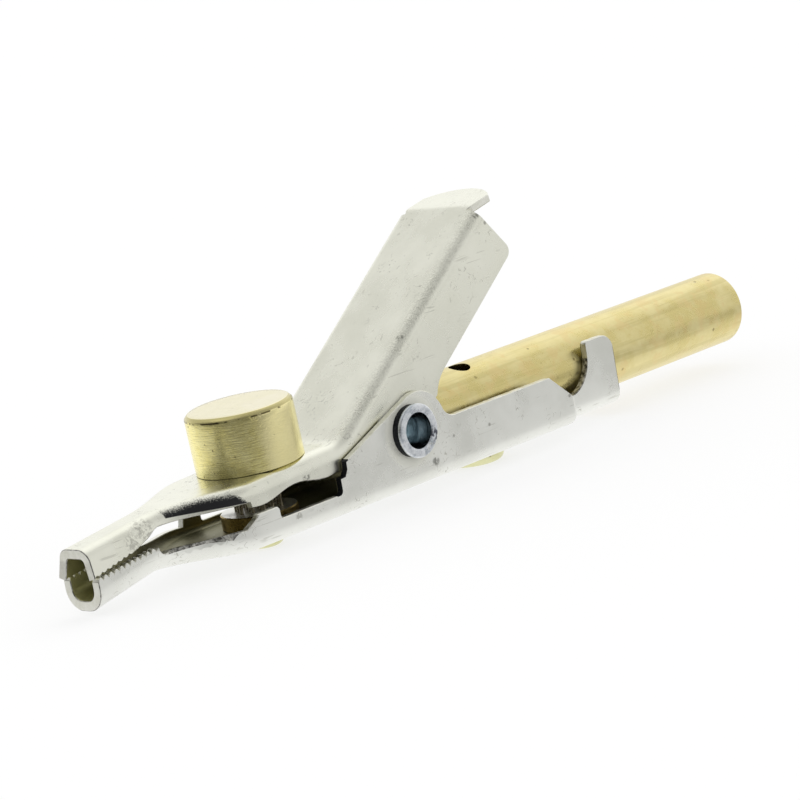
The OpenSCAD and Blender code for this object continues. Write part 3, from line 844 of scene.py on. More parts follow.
def sheetPiece(name, skin, stations, side, hole, tongue=None):
    rings = [sheetRing(st, side) for st in stations]
    size = len(rings[0])
    wide = (size - 4) // 2
    points = [p for ring in rings for p in ring]
    faces, kinds = [], []

    def add(face, kind, flip=False):
        faces.append(tuple(face)[::-1] if flip == (side < 0) else tuple(face))
        kinds.append(kind)

    kind = faceKinds(wide)
    for i in range(len(rings) - 1):
        for j in range(size):
            m = (j + 1) % size
            edge = stations[i]["near" if j < size - 2 else "far"]["edge"]
            look = tornFaceAndShade if i == 0 else edge if kind[j] == cutFace else kind[j]
            add((i * size + j, (i + 1) * size + j, (i + 1) * size + m, i * size + m), look)

    def cap(base, spans, flip):
        for j in spans:
            add((base + j, base + j + 1, base + size - 4 - j, base + size - 3 - j), cutFace, flip)
        for start in (wide - 1, size - 3):
            add([base + (start + k) % size for k in range(4)], cutFace, flip)

    lastRing = (len(rings) - 1) * size
    flatCount = 2 * counts["flat"]
    edge = counts["wall"] + counts["bend"]
    flatSpan = range(edge, edge + flatCount)
    cap(0, range(wide - 1), False)
    cap(lastRing, [j for j in range(wide - 1) if not (tongue and j in flatSpan)], True)
    if tongue:
        top = [lastRing + j for j in range(edge, edge + flatCount + 1)]
        low = [lastRing + size - 3 - j for j in range(edge, edge + flatCount + 1)]
        held = [*top, top[-1], low[-1], *low[::-1], low[0], top[0]]
        count = len(held)
        kind = faceKinds(flatCount + 1)
        for line in tongue:
            now = list(range(len(points), len(points) + count))
            points += [np.array(p) for p in line]
            for k in range(count):
                m = (k + 1) % count
                add((held[k], now[k], now[m], held[m]), kind[k])
            held = now
        for k in range(flatCount):
            add((held[k + 1], held[k], held[count - 3 - k], held[count - 4 - k]), cutFace)
        w = flatCount + 1
        add((held[w], held[w - 1], held[w + 2], held[w + 1]), cutFace)
        add((held[0], held[-1], held[-2], held[-3]), cutFace)
    obj = newObject(name, inFrame(points), faces, [skin, inside, cutEdge, tornEdgeAndShade, rimShade])
    mesh = obj.data
    mesh.polygons.foreach_set("material_index", kinds)
    if tongue:
        bent = stretched(stations, size)
        bent += [0.0] * (len(points) - len(bent))
        mesh.attributes.new("bend", "FLOAT", "POINT").data.foreach_set("value", bent)
    tidy(mesh)
    return settleCut(obj, hole, creaseAngle)


acrossPart = Matrix.Rotation(math.radians(90), 4, "X")


def crossPin(name, r):
    reach = clip["pinReach"]
    return lathe(name, [(0, -reach), (r, -reach), (r, reach), (0, reach)], 64, acrossPart, [])


# Lower jaw
jaw = {
    "tip": -30.5,
    "half": 5.15,
    "gripHalf": 3.805,
    "noseR": 1.6,
    "rise": 0.3,
    "droop": 10.3,
    "tipHeight": 2.5,
    "bite": 6.0,
    "teeth": 11,
    "tooth": 0.28,
    "valley": 0.28,
    "valleyPower": 0.6,
    "ear": (1.2, 2.8),
    "earFillet": 1.4,
    "neck": (19.2, 20.5),
    "near": {"front": -2.75, "foot": (-18.2, -2.75), "tab": (-17.2, -15.0), "top": -1.8, "window": -2.75},
    "far": {"front": -2.52, "foot": (-16.2, -3.33), "tab": (-16.0, -14.3), "top": -2.2, "window": -3.42},
    "frontR": 0.6,
    "frontLift": 0.4,
    "tabR": 0.25,
    "windowR": 0.35,
    "notch": [(-8.3, -1.55), (-7.77, -1.52), (-7.45, -1.0), (-7.43, -0.45)],
    "shoulder": (16.55, -0.5, 0.5),
    "dip": (19.15, -2.05),
    "gripRise": (20.3, 0.45, 3.0),
    "gripFront": (23.6, 1.155, 0.3),
    "gripBack": (25.4, 0.155, 1.3),
    "slant": 0.42,
    "slantStart": (-24.0, 1.0),
    "slantEnd": (-18.6, 0.8),
    "ripples": ((9, 0.22), (23, 0.14)),
    "notchShadeEdge": (-9.0, -7.2),
    "gripShadeEdge": (19.0, 23.25),
    "step": 0.3,
}


def jawFloor(x):
    if x < clip["noseRoot"]:
        return clip["floor"] + jaw["rise"] - (clip["noseRoot"] - x) * math.tan(math.radians(jaw["droop"]))
    return clip["floor"] + flared(x, jaw["rise"], 0.0)


def jawHalf(x):
    a, b = jaw["neck"]
    if x < a:
        return flared(x, clip["noseHalf"], jaw["half"])
    return blend(jaw["half"], jaw["gripHalf"], (x - a) / (b - a))


# The walls' upper edge on one side, from the teeth over the window and the ear to the grip
def jawEdge(cut):
    root = clip["noseRoot"] - jaw["tooth"]
    tipZ = jawFloor(jaw["tip"]) + jaw["tipHeight"]
    rootZ = tipZ + (root - jaw["tip"]) * math.tan(math.radians(jaw["bite"]))
    points = []
    steps = 6 * jaw["teeth"]
    for i in range(steps + 1):
        s = i / steps
        valley = jaw["valley"] * (1 - abs(math.sin(math.pi * jaw["teeth"] * s)) ** jaw["valleyPower"])
        points.append((jaw["tip"] + (root - jaw["tip"]) * s, tipZ + (rootZ - tipZ) * s - valley))
    r = jaw["frontR"]
    points += arcPoints(clip["noseRoot"] + r, cut["front"] + jaw["frontLift"], r, 180, 270, 6)
    points += [cut["foot"]]
    r = jaw["tabR"]
    points += arcPoints(cut["tab"][0] + r, cut["top"] - r, r, 170, 90, 4)
    points += arcPoints(cut["tab"][1] - r, cut["top"] - r, r, 90, 0, 4)
    r = jaw["windowR"]
    points += arcPoints(cut["tab"][1] + r, cut["window"] + r, r, 180, 270, 4)
    points += arcPoints(jaw["notch"][0][0] - r, cut["window"] + r, r, 270, 360, 4)
    points += jaw["notch"]
    earX, earR = jaw["ear"]
    r = jaw["earFillet"]
    run, fall = earX - jaw["notch"][-1][0], -jaw["notch"][-1][1]
    slope = math.degrees(math.atan2(fall, run) + math.asin(earR / math.hypot(run, fall)))
    filletX = earX + math.sqrt((earR + r) ** 2 - r**2)
    filletA = math.degrees(math.atan2(r, filletX - earX))
    points += arcPoints(earX, 0, earR, slope + 90, filletA, 24)
    points += arcPoints(filletX, r, r, 180 + filletA, 270, 8)
    points += arcPoints(*jaw["shoulder"], 90, 55, 4)
    points += [jaw["dip"]]
    points += arcPoints(*jaw["gripRise"], 270, 360, 12)
    points += arcPoints(*jaw["gripFront"], 170, 90, 4)
    points += arcPoints(*jaw["gripBack"], 90, 0, 8)
    return points


# The near wall's cut edge slants behind the teeth
def cutSlant(x):
    ragged = 1 + sum(size * math.sin(pace * x) for pace, size in jaw["ripples"])
    (start, startRun), (end, endRun) = jaw["slantStart"], jaw["slantEnd"]
    return jaw["slant"] * ragged * smooth((x - start) / startRun) * smooth((end - x) / endRun)


# Where an outline is steep, the columns below it spread out
columns = {"pad": 15, "step": 0.1, "blur": 0.35, "gap": 0.02}


def columnBases(points):
    flat = np.array(points)
    run = np.concatenate([[0], np.cumsum(np.linalg.norm(np.diff(flat, axis=0), axis=1))])
    pad = np.arange(1, columns["pad"] + 1) * columns["step"]
    x = np.concatenate([flat[0, 0] - pad[::-1], flat[:, 0], flat[-1, 0] + pad])
    at = np.concatenate([-pad[::-1], run, run[-1] + pad])
    weight = np.exp(-(((run[:, None] - at[None, :]) / columns["blur"]) ** 2)) * np.gradient(at)
    soft = (weight * x).sum(1) / weight.sum(1)
    soft[0], soft[-1] = flat[0, 0], flat[-1, 0]
    gap, last = columns["gap"], len(soft) - 1
    for i in range(1, last):
        soft[i] = min(max(soft[i], soft[i - 1] + gap), flat[-1, 0] - gap * (last - i))
    return [float(v) for v in soft]


def jawWall(tip, base, slant):
    half = jawHalf(base)
    # Beside the grip the dark torn edge is painted shade of the gap at the tube
    rough = slant > edgeRound or jaw["gripShadeEdge"][0] < tip[0] < jaw["gripShadeEdge"][1]
    # At the notch the black edge is painted shade
    notchShade = jaw["notchShadeEdge"][0] < tip[0] < jaw["notchShadeEdge"][1]
    return {
        "at": (base, jawFloor(base)),
        "tip": tip,
        "half": half,
        "r": flared(base, jaw["noseR"], clip["bend"]),
        "spread": jawHalf(tip[0]) - half,
        "slant": slant,
        "edge": blackShadeFace if notchShade else tornFaceAndShade if rough else cutFace,
    }


def jawStations():
    near, far = denser(jawEdge(jaw["near"]), jawEdge(jaw["far"]), jaw["step"])
    found = []
    for a, b, nearBase, farBase in zip(near, far, columnBases(near), columnBases(far)):
        walls = {"near": jawWall(a, nearBase, cutSlant(a[0])), "far": jawWall(b, farBase, 0.0)}
        found.append({"slope": 0.0, "fold": 90.0, "thick": sheetAt(nearBase), **walls})
    return found


def shifted(st, by):
    moved = {}
    for key in ("near", "far"):
        spots = {spot: (st[key][spot][0] + by, st[key][spot][1]) for spot in ("at", "tip")}
        moved[key] = dict(st[key], **spots)
    return dict(st, **moved)


# A sheet's end gets a narrow round of its own
def roundEnds(stations, back=True):
    first, last = stations[0], stations[-1]
    end = [shifted(last, -edgeRound), dict(last, inset=edgeRound)] if back else [last]
    return [dict(first, inset=edgeRound), shifted(first, edgeRound), *stations[1:-1], *end]


jawHole = crossPin("jawHole", clip["barrel"])
lowerJaw = sheetPiece("lowerJaw", jawNickel, roundEnds(jawStations()), -1, jawHole)
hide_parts("lower_jaw")
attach(lowerJaw, "base")
print("lower jaw", len(lowerJaw.data.polygons))

# Lever
lever = {
    "tip": -30.8,
    "half": 4.45,
    "noseHalf": 1.72,
    "noseFold": 75.0,
    "foldRun": (-24.9, 2.5),
    "noseBend": -23.2,
    "bendReach": 1.1,
    "droop": 6.7,
    "bite": 11.0,
    "farBite": 6.5,
    "teeth": 7,
    "tooth": 0.28,
    "valley": 0.12,
    "gap": 0.15,
    "farGap": 0.06,
    "noseCut": [(-26.24, -1.81), (-25.16, -1.45), (-24.85, -1.3), (-24.25, -0.98)],
    "farCut": [(-26.24, -2.2), (-25.16, -1.75), (-24.85, -1.4), (-24.25, -0.98)],
    "skirtFront": -24.0,
    "skirt": (1.0, 1.45),
    "cheekFront": -16.95,
    "cheekGap": 0.1,
    "cheekBack": -8.0,
    "cheekTurn": -7.6,
    "cheekR": 2.9,
    "cheekWave": {"z": -1.12, "swing": 0.27, "length": 7, "slope": 1.7},
    "handlePitch": 35.9,
    "handleHeight": 4.83,
    "handleLow": -0.42,
    "handleStart": 3.65,
    "heel": (7.3, 2.8, 0.74),
    "handleEnd": 19.0,
    "endR": 0.7,
    "lean": 0.3,
    "elbowR": 3.0,
    "restHalf": 3.6,
    "restLength": 2.75,
    "restBulge": 1.7,
    "restPitch": 12.0,
    "restTurn": 0.9,
    "restFlare": 0.5,
    "restTrim": 0.3,
    "step": 0.3,
    "holePlay": 0.04,
}
leverSteps = {"skirt": 24, "cheek": 24, "elbow": 13, "rise": 14, "round": 20, "handle": 34}
leverSteps.update({"restRows": 18, "rest": 24})


def leverTop(x):
    m2, m1 = math.tan(math.radians(clip["platePitch"])), math.tan(math.radians(lever["droop"]))
    b, h = lever["noseBend"], lever["bendReach"]
    z = lineHeight(b, clip["platePitch"], clip["plateHeight"])
    if x >= b + h:
        return z + m2 * (x - b), clip["platePitch"]
    if x <= b - h:
        return z + m1 * (x - b), lever["droop"]
    run = m1 * (b + h - x) + (m2 - m1) * (4 * h * h - (x - b + h) ** 2) / (4 * h)
    return z + m2 * h - run, math.degrees(math.atan(m1 + (m2 - m1) * (x - b + h) / (2 * h)))


def alongHandle(u, n):
    a = math.radians(lever["handlePitch"])
    return (u * math.cos(a) - n * math.sin(a), u * math.sin(a) + n * math.cos(a))


def biteZ(x, gap, bite):
    return jawFloor(jaw["tip"]) + jaw["tipHeight"] + gap + (x - jaw["tip"]) * math.tan(math.radians(bite))


def cheekZ(x):
    wave = lever["cheekWave"]
    d = x + clip["studReach"]
    swing = wave["swing"] * math.cos(math.radians(d * 360 / wave["length"]))
    return wave["z"] + swing + d * math.tan(math.radians(wave["slope"]))


def skirtDepth(x):
    a, b = lever["skirt"]
    return a + (b - a) * (x - clip["noseRoot"]) / (lever["cheekFront"] - clip["noseRoot"])


def leverStation(at, slope, end, farEnd=None):
    foldStart, foldRun = lever["foldRun"]
    # Along the cheeks the dark torn edge is painted shade
    cheekEdgeShade = lever["cheekFront"] < end[0] < lever["cheekBack"]
    wall = {
        "at": at,
        "tip": end,
        "half": flared(at[0], lever["noseHalf"], lever["half"]),
        "r": clip["bend"],
        "spread": 0.0,
        "slant": 0.0,
        "edge": tornFaceAndShade if cheekEdgeShade else cutFace,
    }
    fold = blend(lever["noseFold"], 90, (at[0] - foldStart) / foldRun)
    far = dict(wall, tip=farEnd or end)
    return {"slope": slope, "fold": fold, "thick": sheetAt(at[0]), "near": wall, "far": far}


# The handle's lower edge, which drops toward the cheeks
def lowEdge(u):
    start, run, drop = lever["heel"]
    return alongHandle(u, lever["handleLow"] - drop * min(1.0, max(0.0, (start - u) / run)) ** 3)


# The nose with its teeth, the skirt behind it and the cheeks beside the stud
def frontStations():
    points, far = [], []
    steps = 6 * lever["teeth"]
    for i in range(steps + 1):
        x = lever["tip"] + 2 * lever["tooth"] * lever["teeth"] * i / steps
        valley = lever["valley"] * (1 - abs(math.cos(math.pi * lever["teeth"] * i / steps)))
        points.append((x, biteZ(x, lever["gap"], lever["bite"]) + valley))
        far.append((x, biteZ(x, lever["farGap"], lever["farBite"]) + valley))
    skirt = np.linspace(lever["skirtFront"], lever["cheekFront"] - lever["cheekGap"], leverSteps["skirt"])
    cheek = np.linspace(lever["cheekFront"], lever["cheekBack"], leverSteps["cheek"])
    both = [(x, leverTop(x)[0] - skirtDepth(x)) for x in skirt] + [(x, cheekZ(x)) for x in cheek]
    points, far = denser(points + lever["noseCut"] + both, far + lever["farCut"] + both, lever["step"])
    found = []
    for end, farEnd, x in zip(points, far, columnBases(points)):
        z, slope = leverTop(x)
        found.append(leverStation((x, z), slope, end, farEnd))
    return found


# From the plate round the elbow to the handle, with the cheek's round below
def elbowStations():
    a, b = math.radians(clip["platePitch"]), math.radians(lever["handlePitch"])
    h1, h2, r = clip["plateHeight"], lever["handleHeight"], lever["elbowR"]
    cornerX = (h1 * math.cos(b) - h2 * math.cos(a)) / math.sin(b - a)
    cornerZ = (h1 * math.sin(b) - h2 * math.sin(a)) / math.sin(b - a)
    run = r * math.tan((b - a) / 2)
    x = cornerX - run * math.cos(a) - r * math.sin(a)
    z = cornerZ - run * math.sin(a) + r * math.cos(a)
    turns = np.linspace(a, b, leverSteps["elbow"])
    spine = [(x + r * math.sin(s), z - r * math.cos(s), math.degrees(s)) for s in turns]
    start = spine[-1][0] * math.cos(b) + spine[-1][1] * math.sin(b)
    for u in np.linspace(start, lever["handleStart"], leverSteps["rise"])[1:]:
        spine.append((*alongHandle(u, h2), lever["handlePitch"]))
    low = [(lever["cheekTurn"], cheekZ(lever["cheekTurn"]))]
    low += arcPoints(0, 0, lever["cheekR"], 225, 340 + lever["handlePitch"], leverSteps["round"])
    low += [lowEdge(lever["handleStart"])]
    reach = np.concatenate([[0], np.cumsum([math.dist(p, q) for p, q in zip(low, low[1:])])])
    found = []
    for k, (x, z, slope) in enumerate(spine):
        s = reach[-1] * (k + 1) / len(spine)
        end = tuple(float(np.interp(s, reach, [p[axis] for p in low])) for axis in (0, 1))
        found.append(leverStation((x, z), slope, end))
    return found


def handleStations():
    start, r = lever["handleStart"], lever["endR"]
    turn = lever["handleEnd"] - r
    ends = [lowEdge(u) for u in np.linspace(start, turn, leverSteps["handle"])[1:]]
    ends += [alongHandle(u, n) for u, n in arcPoints(turn, lever["handleLow"] + r, r, 270, 360, 6)[1:]]
    places = np.linspace(start, lever["handleEnd"] - lever["lean"], len(ends) + 1)[1:]
    pitch, height = lever["handlePitch"], lever["handleHeight"]
    return [leverStation(alongHandle(u, height), pitch, end) for end, u in zip(ends, places)]


# The thumb rest carries on from the flat of the handle and levels out
def thumbRest():
    half, bulge, t = lever["restHalf"], lever["restBulge"], clip["sheet"]
    r = (half**2 + bulge**2) / (2 * bulge)
    length = lever["restLength"] + bulge
    start = alongHandle(lever["handleEnd"] - lever["lean"], lever["handleHeight"])
    narrow = lever["half"] - clip["bend"]
    steep, level = math.radians(lever["handlePitch"]), math.radians(lever["restPitch"])
    rows, steps, wide = leverSteps["restRows"], leverSteps["rest"], counts["flat"]
    rings = []

    def spot(s, y, depth):
        x, z = start
        for m in range(steps):
            a = blend(steep, level, s * (m + 0.5) / steps / lever["restTurn"])
            x += s / steps * math.cos(a)
            z += s / steps * math.sin(a)
        a = blend(steep, level, s / lever["restTurn"])
        return (x + depth * math.sin(a), y, z - depth * math.cos(a))

    # How far along and how far out the rest reaches, and how much its edge is trimmed there
    def reachAt(share, v, extra):
        whole = length - r + math.sqrt(r * r - (v * half) ** 2)
        s = share * (whole - edgeRound) + extra
        return s, v * blend(narrow, half, s / lever["restFlare"]), edgeRound * smooth(s / lever["restTrim"])

    for i in range(1, rows + 2):
        inset = edgeRound if i == rows + 1 else 0.0
        share = min(1.0, i / rows)
        top, low = [], []
        for k in range(wide, -wide - 1, -1):
            s, y, trim = reachAt(share, k / wide, inset)
            y -= math.copysign(trim, k) if abs(k) == wide else 0.0
            top.append(spot(s, y, inset))
            low.append(spot(s, y, t - inset))
        s, y, trim = reachAt(share, 1.0, inset)
        near = [spot(s, -y, trim), spot(s, -y, t - trim)]
        far = [spot(s, y, t - trim), spot(s, y, trim)]
        rings.append(top + near + low[::-1] + far)
    return rings


leverHole = crossPin("leverHole", clip["barrel"] + lever["holePlay"])
leverLine = roundEnds(frontStations() + elbowStations() + handleStations(), False)
upperLever = sheetPiece("upperLever", leverNickel, leverLine, 1, leverHole, thumbRest())
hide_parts("upper_lever")
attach(upperLever, "lever")
print("lever", len(upperLever.data.polygons))

# Brass contact stud
stud = {
    "r": 4.18,
    "height": 4.67,
    "chamfer": 0.28,
    "undercut": 0.015,
    "foot": 0.03,
    "step": 0.9,
    "stem": (1.1, 0.6),
    "burr": 0.08,
    "ease": 0.02,
    "topEase": (0.05, 0.03),
}


def makeStud():
    r, h, c = stud["r"], stud["height"], stud["chamfer"]
    u, f = stud["undercut"], stud["foot"]
    stemR, stemDepth = stud["stem"]
    inner, low = r - stud["step"], u + f
    outline = [(0, -stemDepth), (stemR, -stemDepth), (stemR, 0.0)]
    outline += [(inner, 0.0), (inner, u), (r - f, u), (r, low)]
    outline += [(r, low + (h - c - low - stud["burr"]) * k / 10) for k in range(1, 11)]
    ease, (topRun, topFall) = stud["ease"], stud["topEase"]
    outline += [(r - ease, h - c), (r - c + ease, h - topFall), (r - c - topRun, h)]
    outline += [(r * k / 10, h) for k in range(8, 0, -1)] + [(0, h)]
    place = Matrix.Translation((-clip["studReach"], 0, plateZ))
    place @= Matrix.Rotation(-math.radians(clip["platePitch"]), 4, "Y")
    return settle(lathe("contactStud", outline, 160, place, [turnedBrass]), 30)


contactStud = makeStud()
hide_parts("contact_stud")
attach(contactStud, "lever")

# Pivot eyelet with rolled flanges
eyelet = {
    "hole": 1.4,
    "flange": 2.13,
    "thick": 0.92,
    "half": 5.15,
    "foot": 0.62,
    "neck": 0.08,
    "outerR": 0.2,
    "innerR": 0.16,
    "faceStart": (0.32, 0.01),
    "faceEnd": 0.22,
    "barrelSeat": 0.4,
    "boreSteps": (0.2, 1.2),
}


def makeEyelet():
    hole, out, half = eyelet["hole"], eyelet["flange"], eyelet["half"]
    neck, foot, face = out - eyelet["neck"], half + eyelet["foot"], half + eyelet["thick"]
    barrel = clip["barrel"]
    side = [(barrel, half - eyelet["barrelSeat"]), (barrel, half), (neck, half), (neck, foot)]
    r = eyelet["outerR"]
    side += arcPoints(out - r, face - r, r, -20, 80, 6)
    faceRun, faceFall = eyelet["faceStart"]
    side += [(out - faceRun, face - faceFall), (hole + eyelet["faceEnd"], face)]
    r = eyelet["innerR"]
    side += arcPoints(hole + r, face - r, r, 100, 180, 4)
    side += [(hole, half - step) for step in eyelet["boreSteps"]]
    outline = side + [(r, -h) for r, h in side[::-1]]
    obj = lathe("pivotEyelet", outline, 96, acrossPart, [zinc, rimShade, bore], True)
    for part in obj.data.polygons:
        x, y, z = np.array(part.center) / mm - np.array(clip["pivot"])
        spread = math.hypot(x, z)
        # The rolled flange's outer side takes the black of painted shade
        rolled = half < abs(y) < foot and spread > neck - 0.05
        part.material_index = 1 if rolled else 2 if spread < hole + 0.01 else 0
    return settle(obj, creaseAngle)


pivotEyelet = makeEyelet()
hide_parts("pivot_eyelet")
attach(pivotEyelet, "base")

# Socket tube
tube = {
    "r": 3.175,
    "front": 5.0,
    "back": 45.5,
    "bore": 2.02,
    "boreLength": 28.0,
    "boreEdge": 0.15,
    "core": 1.5,
    "access": 0.9,
    "accessReach": 11.25,
    "accessTurn": 12.0,
    "edge": 0.12,
    "frontEdge": (0.15, 0.04),
    "taper": 0.3,
}


def makeTube():
    r, f, b, e = tube["r"], tube["front"], tube["back"], tube["edge"]
    hole, deep, c = tube["bore"], b - tube["boreLength"], tube["boreEdge"]
    far, near = tube["frontEdge"]
    outline = [(tube["core"], f), (r - far, f), (r - near, f + near), (r, f + far)]
    outline += [(r, f + (b - f) * k / 40) for k in range(1, 40)]
    outline += arcPoints(r - e, b - e, e, 0, 90, 5)
    outline += [(hole + c, b), (hole, b - c), (hole, deep), (tube["core"], deep - tube["taper"])]
    place = Matrix.Translation((0, 0, clip["tubeZ"])) @ Matrix.Rotation(math.radians(90), 4, "Y")
    obj = lathe("socketTube", outline, 128, place, [tubeBrass], True)
    down = Matrix.Translation((tube["accessReach"], 0, clip["tubeZ"]))
    down @= Matrix.Rotation(math.radians(tube["accessTurn"]), 4, "X")
    access = [(0, 0), (tube["access"], 0), (tube["access"], 5), (0, 5)]
    return settleCut(obj, lathe("tubeHole", access, 48, down, []), creaseAngle)


socketTube = makeTube()
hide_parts("socket_tube")
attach(socketTube, "base")

# Rivet below the tube, with its closed end inside
rivet = {
    "shank": 0.6,
    "head": 2.5,
    "height": 1.2,
    "round": 0.6,
    "seat": 1.83,
    "closed": 0.94,
    "closedHeight": 0.45,
    "closedEdge": 0.15,
}


def headOutline(head, shank, height, r):
    return [(0, -height), *arcPoints(head - r, r - height, r, 270, 360, 8), (head, 0), (shank, 0)]


def makeRivet():
    outline = headOutline(rivet["head"], rivet["shank"], rivet["height"], rivet["round"])
    seat, c, e = rivet["seat"], rivet["closed"], rivet["closedEdge"]
    top = seat + rivet["closedHeight"]
    outline += [(rivet["shank"], seat), (c, seat), (c, top - e), (c - e, top), (0, top)]
    place = Matrix.Translation((clip["rivetReach"], 0, clip["floor"]))
    return settle(lathe("tubeRivet", outline, 64, place, [rivetBrass]), creaseAngle)


tubeRivet = makeRivet()
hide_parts("tube_rivet")
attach(tubeRivet, "base")

# Disc that carries the nails
disc = {
    "r": 3.0,
    "thick": 1.15,
    "stem": 1.1,
    "head": 1.5,
    "height": 1.2,
    "round": 0.6,
    "lowEdge": 0.06,
    "topEdge": 0.08,
}


def makeDisc():
    outline = headOutline(disc["head"], disc["stem"], disc["height"], disc["round"])
    low, top, r = clip["sheet"], clip["sheet"] + disc["thick"], disc["r"]
    a, b = disc["lowEdge"], disc["topEdge"]
    outline += [(disc["stem"], low), (r - a, low), (r, low + a)]
    outline += [(r, top - b), (r - b, top), (r / 2, top), (0, top)]
    place = Matrix.Translation((-clip["studReach"], 0, clip["floor"]))
    obj = lathe("nailDisc", outline, 96, place, [rivetBrass, discSideShade, discTopLight])
    seat, face = inFrame([(0, 0, clip["floor"] + low), (0, 0, clip["floor"] + top)])[:, 2]
    for part in obj.data.polygons:
        # The side takes the painted shade and the top the painted highlight
        part.material_index = 0 if part.center.z < seat else 2 if part.center.z > face - 1e-6 else 1
    return settle(obj, creaseAngle)


nailDisc = makeDisc()
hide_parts("nail_disc")
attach(nailDisc, "base")
print("turned pieces made")


# Geometry Nodes trees
def runTree(name, tree, values):
    obj = newObject(name, [], [], [])
    made = obj.modifiers.new("tree", "NODES")
    made.node_group = tree
    for item in tree.interface.items_tree:
        if item.in_out == "INPUT" and item.name in values:
            made[item.identifier] = values[item.name]
    return settle(obj, 40)


def joinAll(nodes):
    both = put("GeometryNodeJoinGeometry")
    for node in nodes:
        join(node, both.inputs[0])
    return both


def moveBy(node, vector):
    return put("GeometryNodeTransform", {"Geometry": node, "Translation": vector})


# Nails in rings of six and twelve around the middle one, in millimetres, and their tilt in radians
nails = {"Pitch": 0.9, "Radius": 0.15, "Height": 1.4, "Tip": 0.6}
nailTilt = 0.02
nailPoint = 0.15


def makeNailTree():
    inputs = {"Pitch": 0.001, "Radius": 0.0002, "Height": 0.001, "Tip": 0.0005, "Tilt": 0.02, "Place": None}
    tree, given, made = newGroup("nailBed", inputs, ["Geometry"], "GeometryNodeTree")
    radius, tip, tilt = given["Radius"], given["Tip"], given["Tilt"]
    inner = put("GeometryNodeMeshCircle", {"Vertices": 6, "Radius": given["Pitch"]})
    outer = put("GeometryNodeMeshCircle", {"Vertices": 6, "Radius": times(given["Pitch"], 2.0)})
    between = put("GeometryNodeSubdivideMesh", {"Mesh": outer, "Level": 1})
    middle = put("GeometryNodeMeshLine", {"Count": 1})
    spots = joinAll((inner, between, middle))
    straight = minus(given["Height"], tip)
    inputs = {"Vertices": 20, "Radius": radius, "Depth": straight}
    shank = put("GeometryNodeMeshCylinder", inputs, fill_type="NGON")
    point = times(radius, nailPoint)
    inputs = {"Vertices": 20, "Radius Top": point, "Radius Bottom": radius, "Depth": tip}
    cone = put("GeometryNodeMeshCone", inputs, fill_type="NGON")
    raised = moveBy(shank, combine(z=times(straight, 0.5)))
    nail = joinAll((raised, moveBy(cone, combine(z=straight))))
    least = times(tilt, -1.0)
    inputs = {0: combine(least, least), 1: combine(tilt, tilt), "Seed": 7}
    lean = put("FunctionNodeRandomValue", inputs, data_type="FLOAT_VECTOR")
    inputs = {"Points": spots, "Instance": nail, "Rotation": lean}
    placed = put("GeometryNodeInstanceOnPoints", inputs)
    real = put("GeometryNodeRealizeInstances", {"Geometry": placed})
    moved = moveBy(real, given["Place"])
    join(put("GeometryNodeSetMaterial", {"Geometry": moved, "Material": pinSteel}), made[0])
    return tree


nailValues = {key: value * mm for key, value in nails.items()}
nailValues["Tilt"] = nailTilt
nailValues["Place"] = spotInFrame(-clip["studReach"], 0, clip["floor"] + clip["sheet"] + disc["thick"])
nailBed = runTree("nailBed", makeNailTree(), nailValues)
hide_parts(*[f"nail_{i:02d}" for i in range(1, 20)])
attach(nailBed, "base")

# Torsion spring: the coil and its lower leg stay with the base, and its upper leg turns with the lever
spring = {
    "radius": 2.4,
    "wire": 0.8,
    "turnGap": 0.08,
    "turns": 4,
    "lowerPitch": 20.0,
    "upperLength": 8.0,
    "gap": 0.05,
    "lap": 36.0,
    "lapThinner": 0.01,
    "steps": 180,
}


def makeWireTree():
    inputs = {"Turns": 4.0, "Coil Radius": 0.002, "Rise": 0.003, "Start Angle": 0.0, "Start Rise": 0.0}
    inputs.update({"Wire Radius": 0.0004, "Leg Start": None, "Leg End": None, "Place": None})
    tree, given, made = newGroup("springWire", inputs, ["Geometry"], "GeometryNodeTree")
    line = put("GeometryNodeMeshLine", {"Count": spring["steps"] + 1})
    share = math2("DIVIDE", put("GeometryNodeInputIndex"), float(spring["steps"]))
    swept = times(share, times(given["Turns"], 2 * math.pi))
    angle = minus(given["Start Angle"], swept)
    inputs = {0: share, 1: given["Rise"], 2: given["Start Rise"]}
    climb = put("ShaderNodeMath", inputs, operation="MULTIPLY_ADD")
    x, z = [times(math2(part, angle), given["Coil Radius"]) for part in ("COSINE", "SINE")]
    wound = put("GeometryNodeSetPosition", {"Geometry": line, "Position": combine(x, climb, z)})
    coil = put("GeometryNodeMeshToCurve", {"Mesh": wound})
    leg = put("GeometryNodeCurvePrimitiveLine", {"Start": given["Leg Start"], "End": given["Leg End"]})
    ring = put("GeometryNodeCurvePrimitiveCircle", {"Resolution": 16, "Radius": given["Wire Radius"]})
    solids = []
    for path in (coil, leg):
        inputs = {"Curve": path, "Profile Curve": ring, "Fill Caps": True}
        solids.append(put("GeometryNodeCurveToMesh", inputs))
    moved = moveBy(joinAll(solids), given["Place"])
    soft = put("GeometryNodeSetShadeSmooth", {"Geometry": moved})
    real = put("GeometryNodeRealizeInstances", {"Geometry": soft})
    join(put("GeometryNodeSetMaterial", {"Geometry": real, "Material": wire}), made[0])
    return tree


def inMetres(values):
    return tuple(value * mm for value in values)


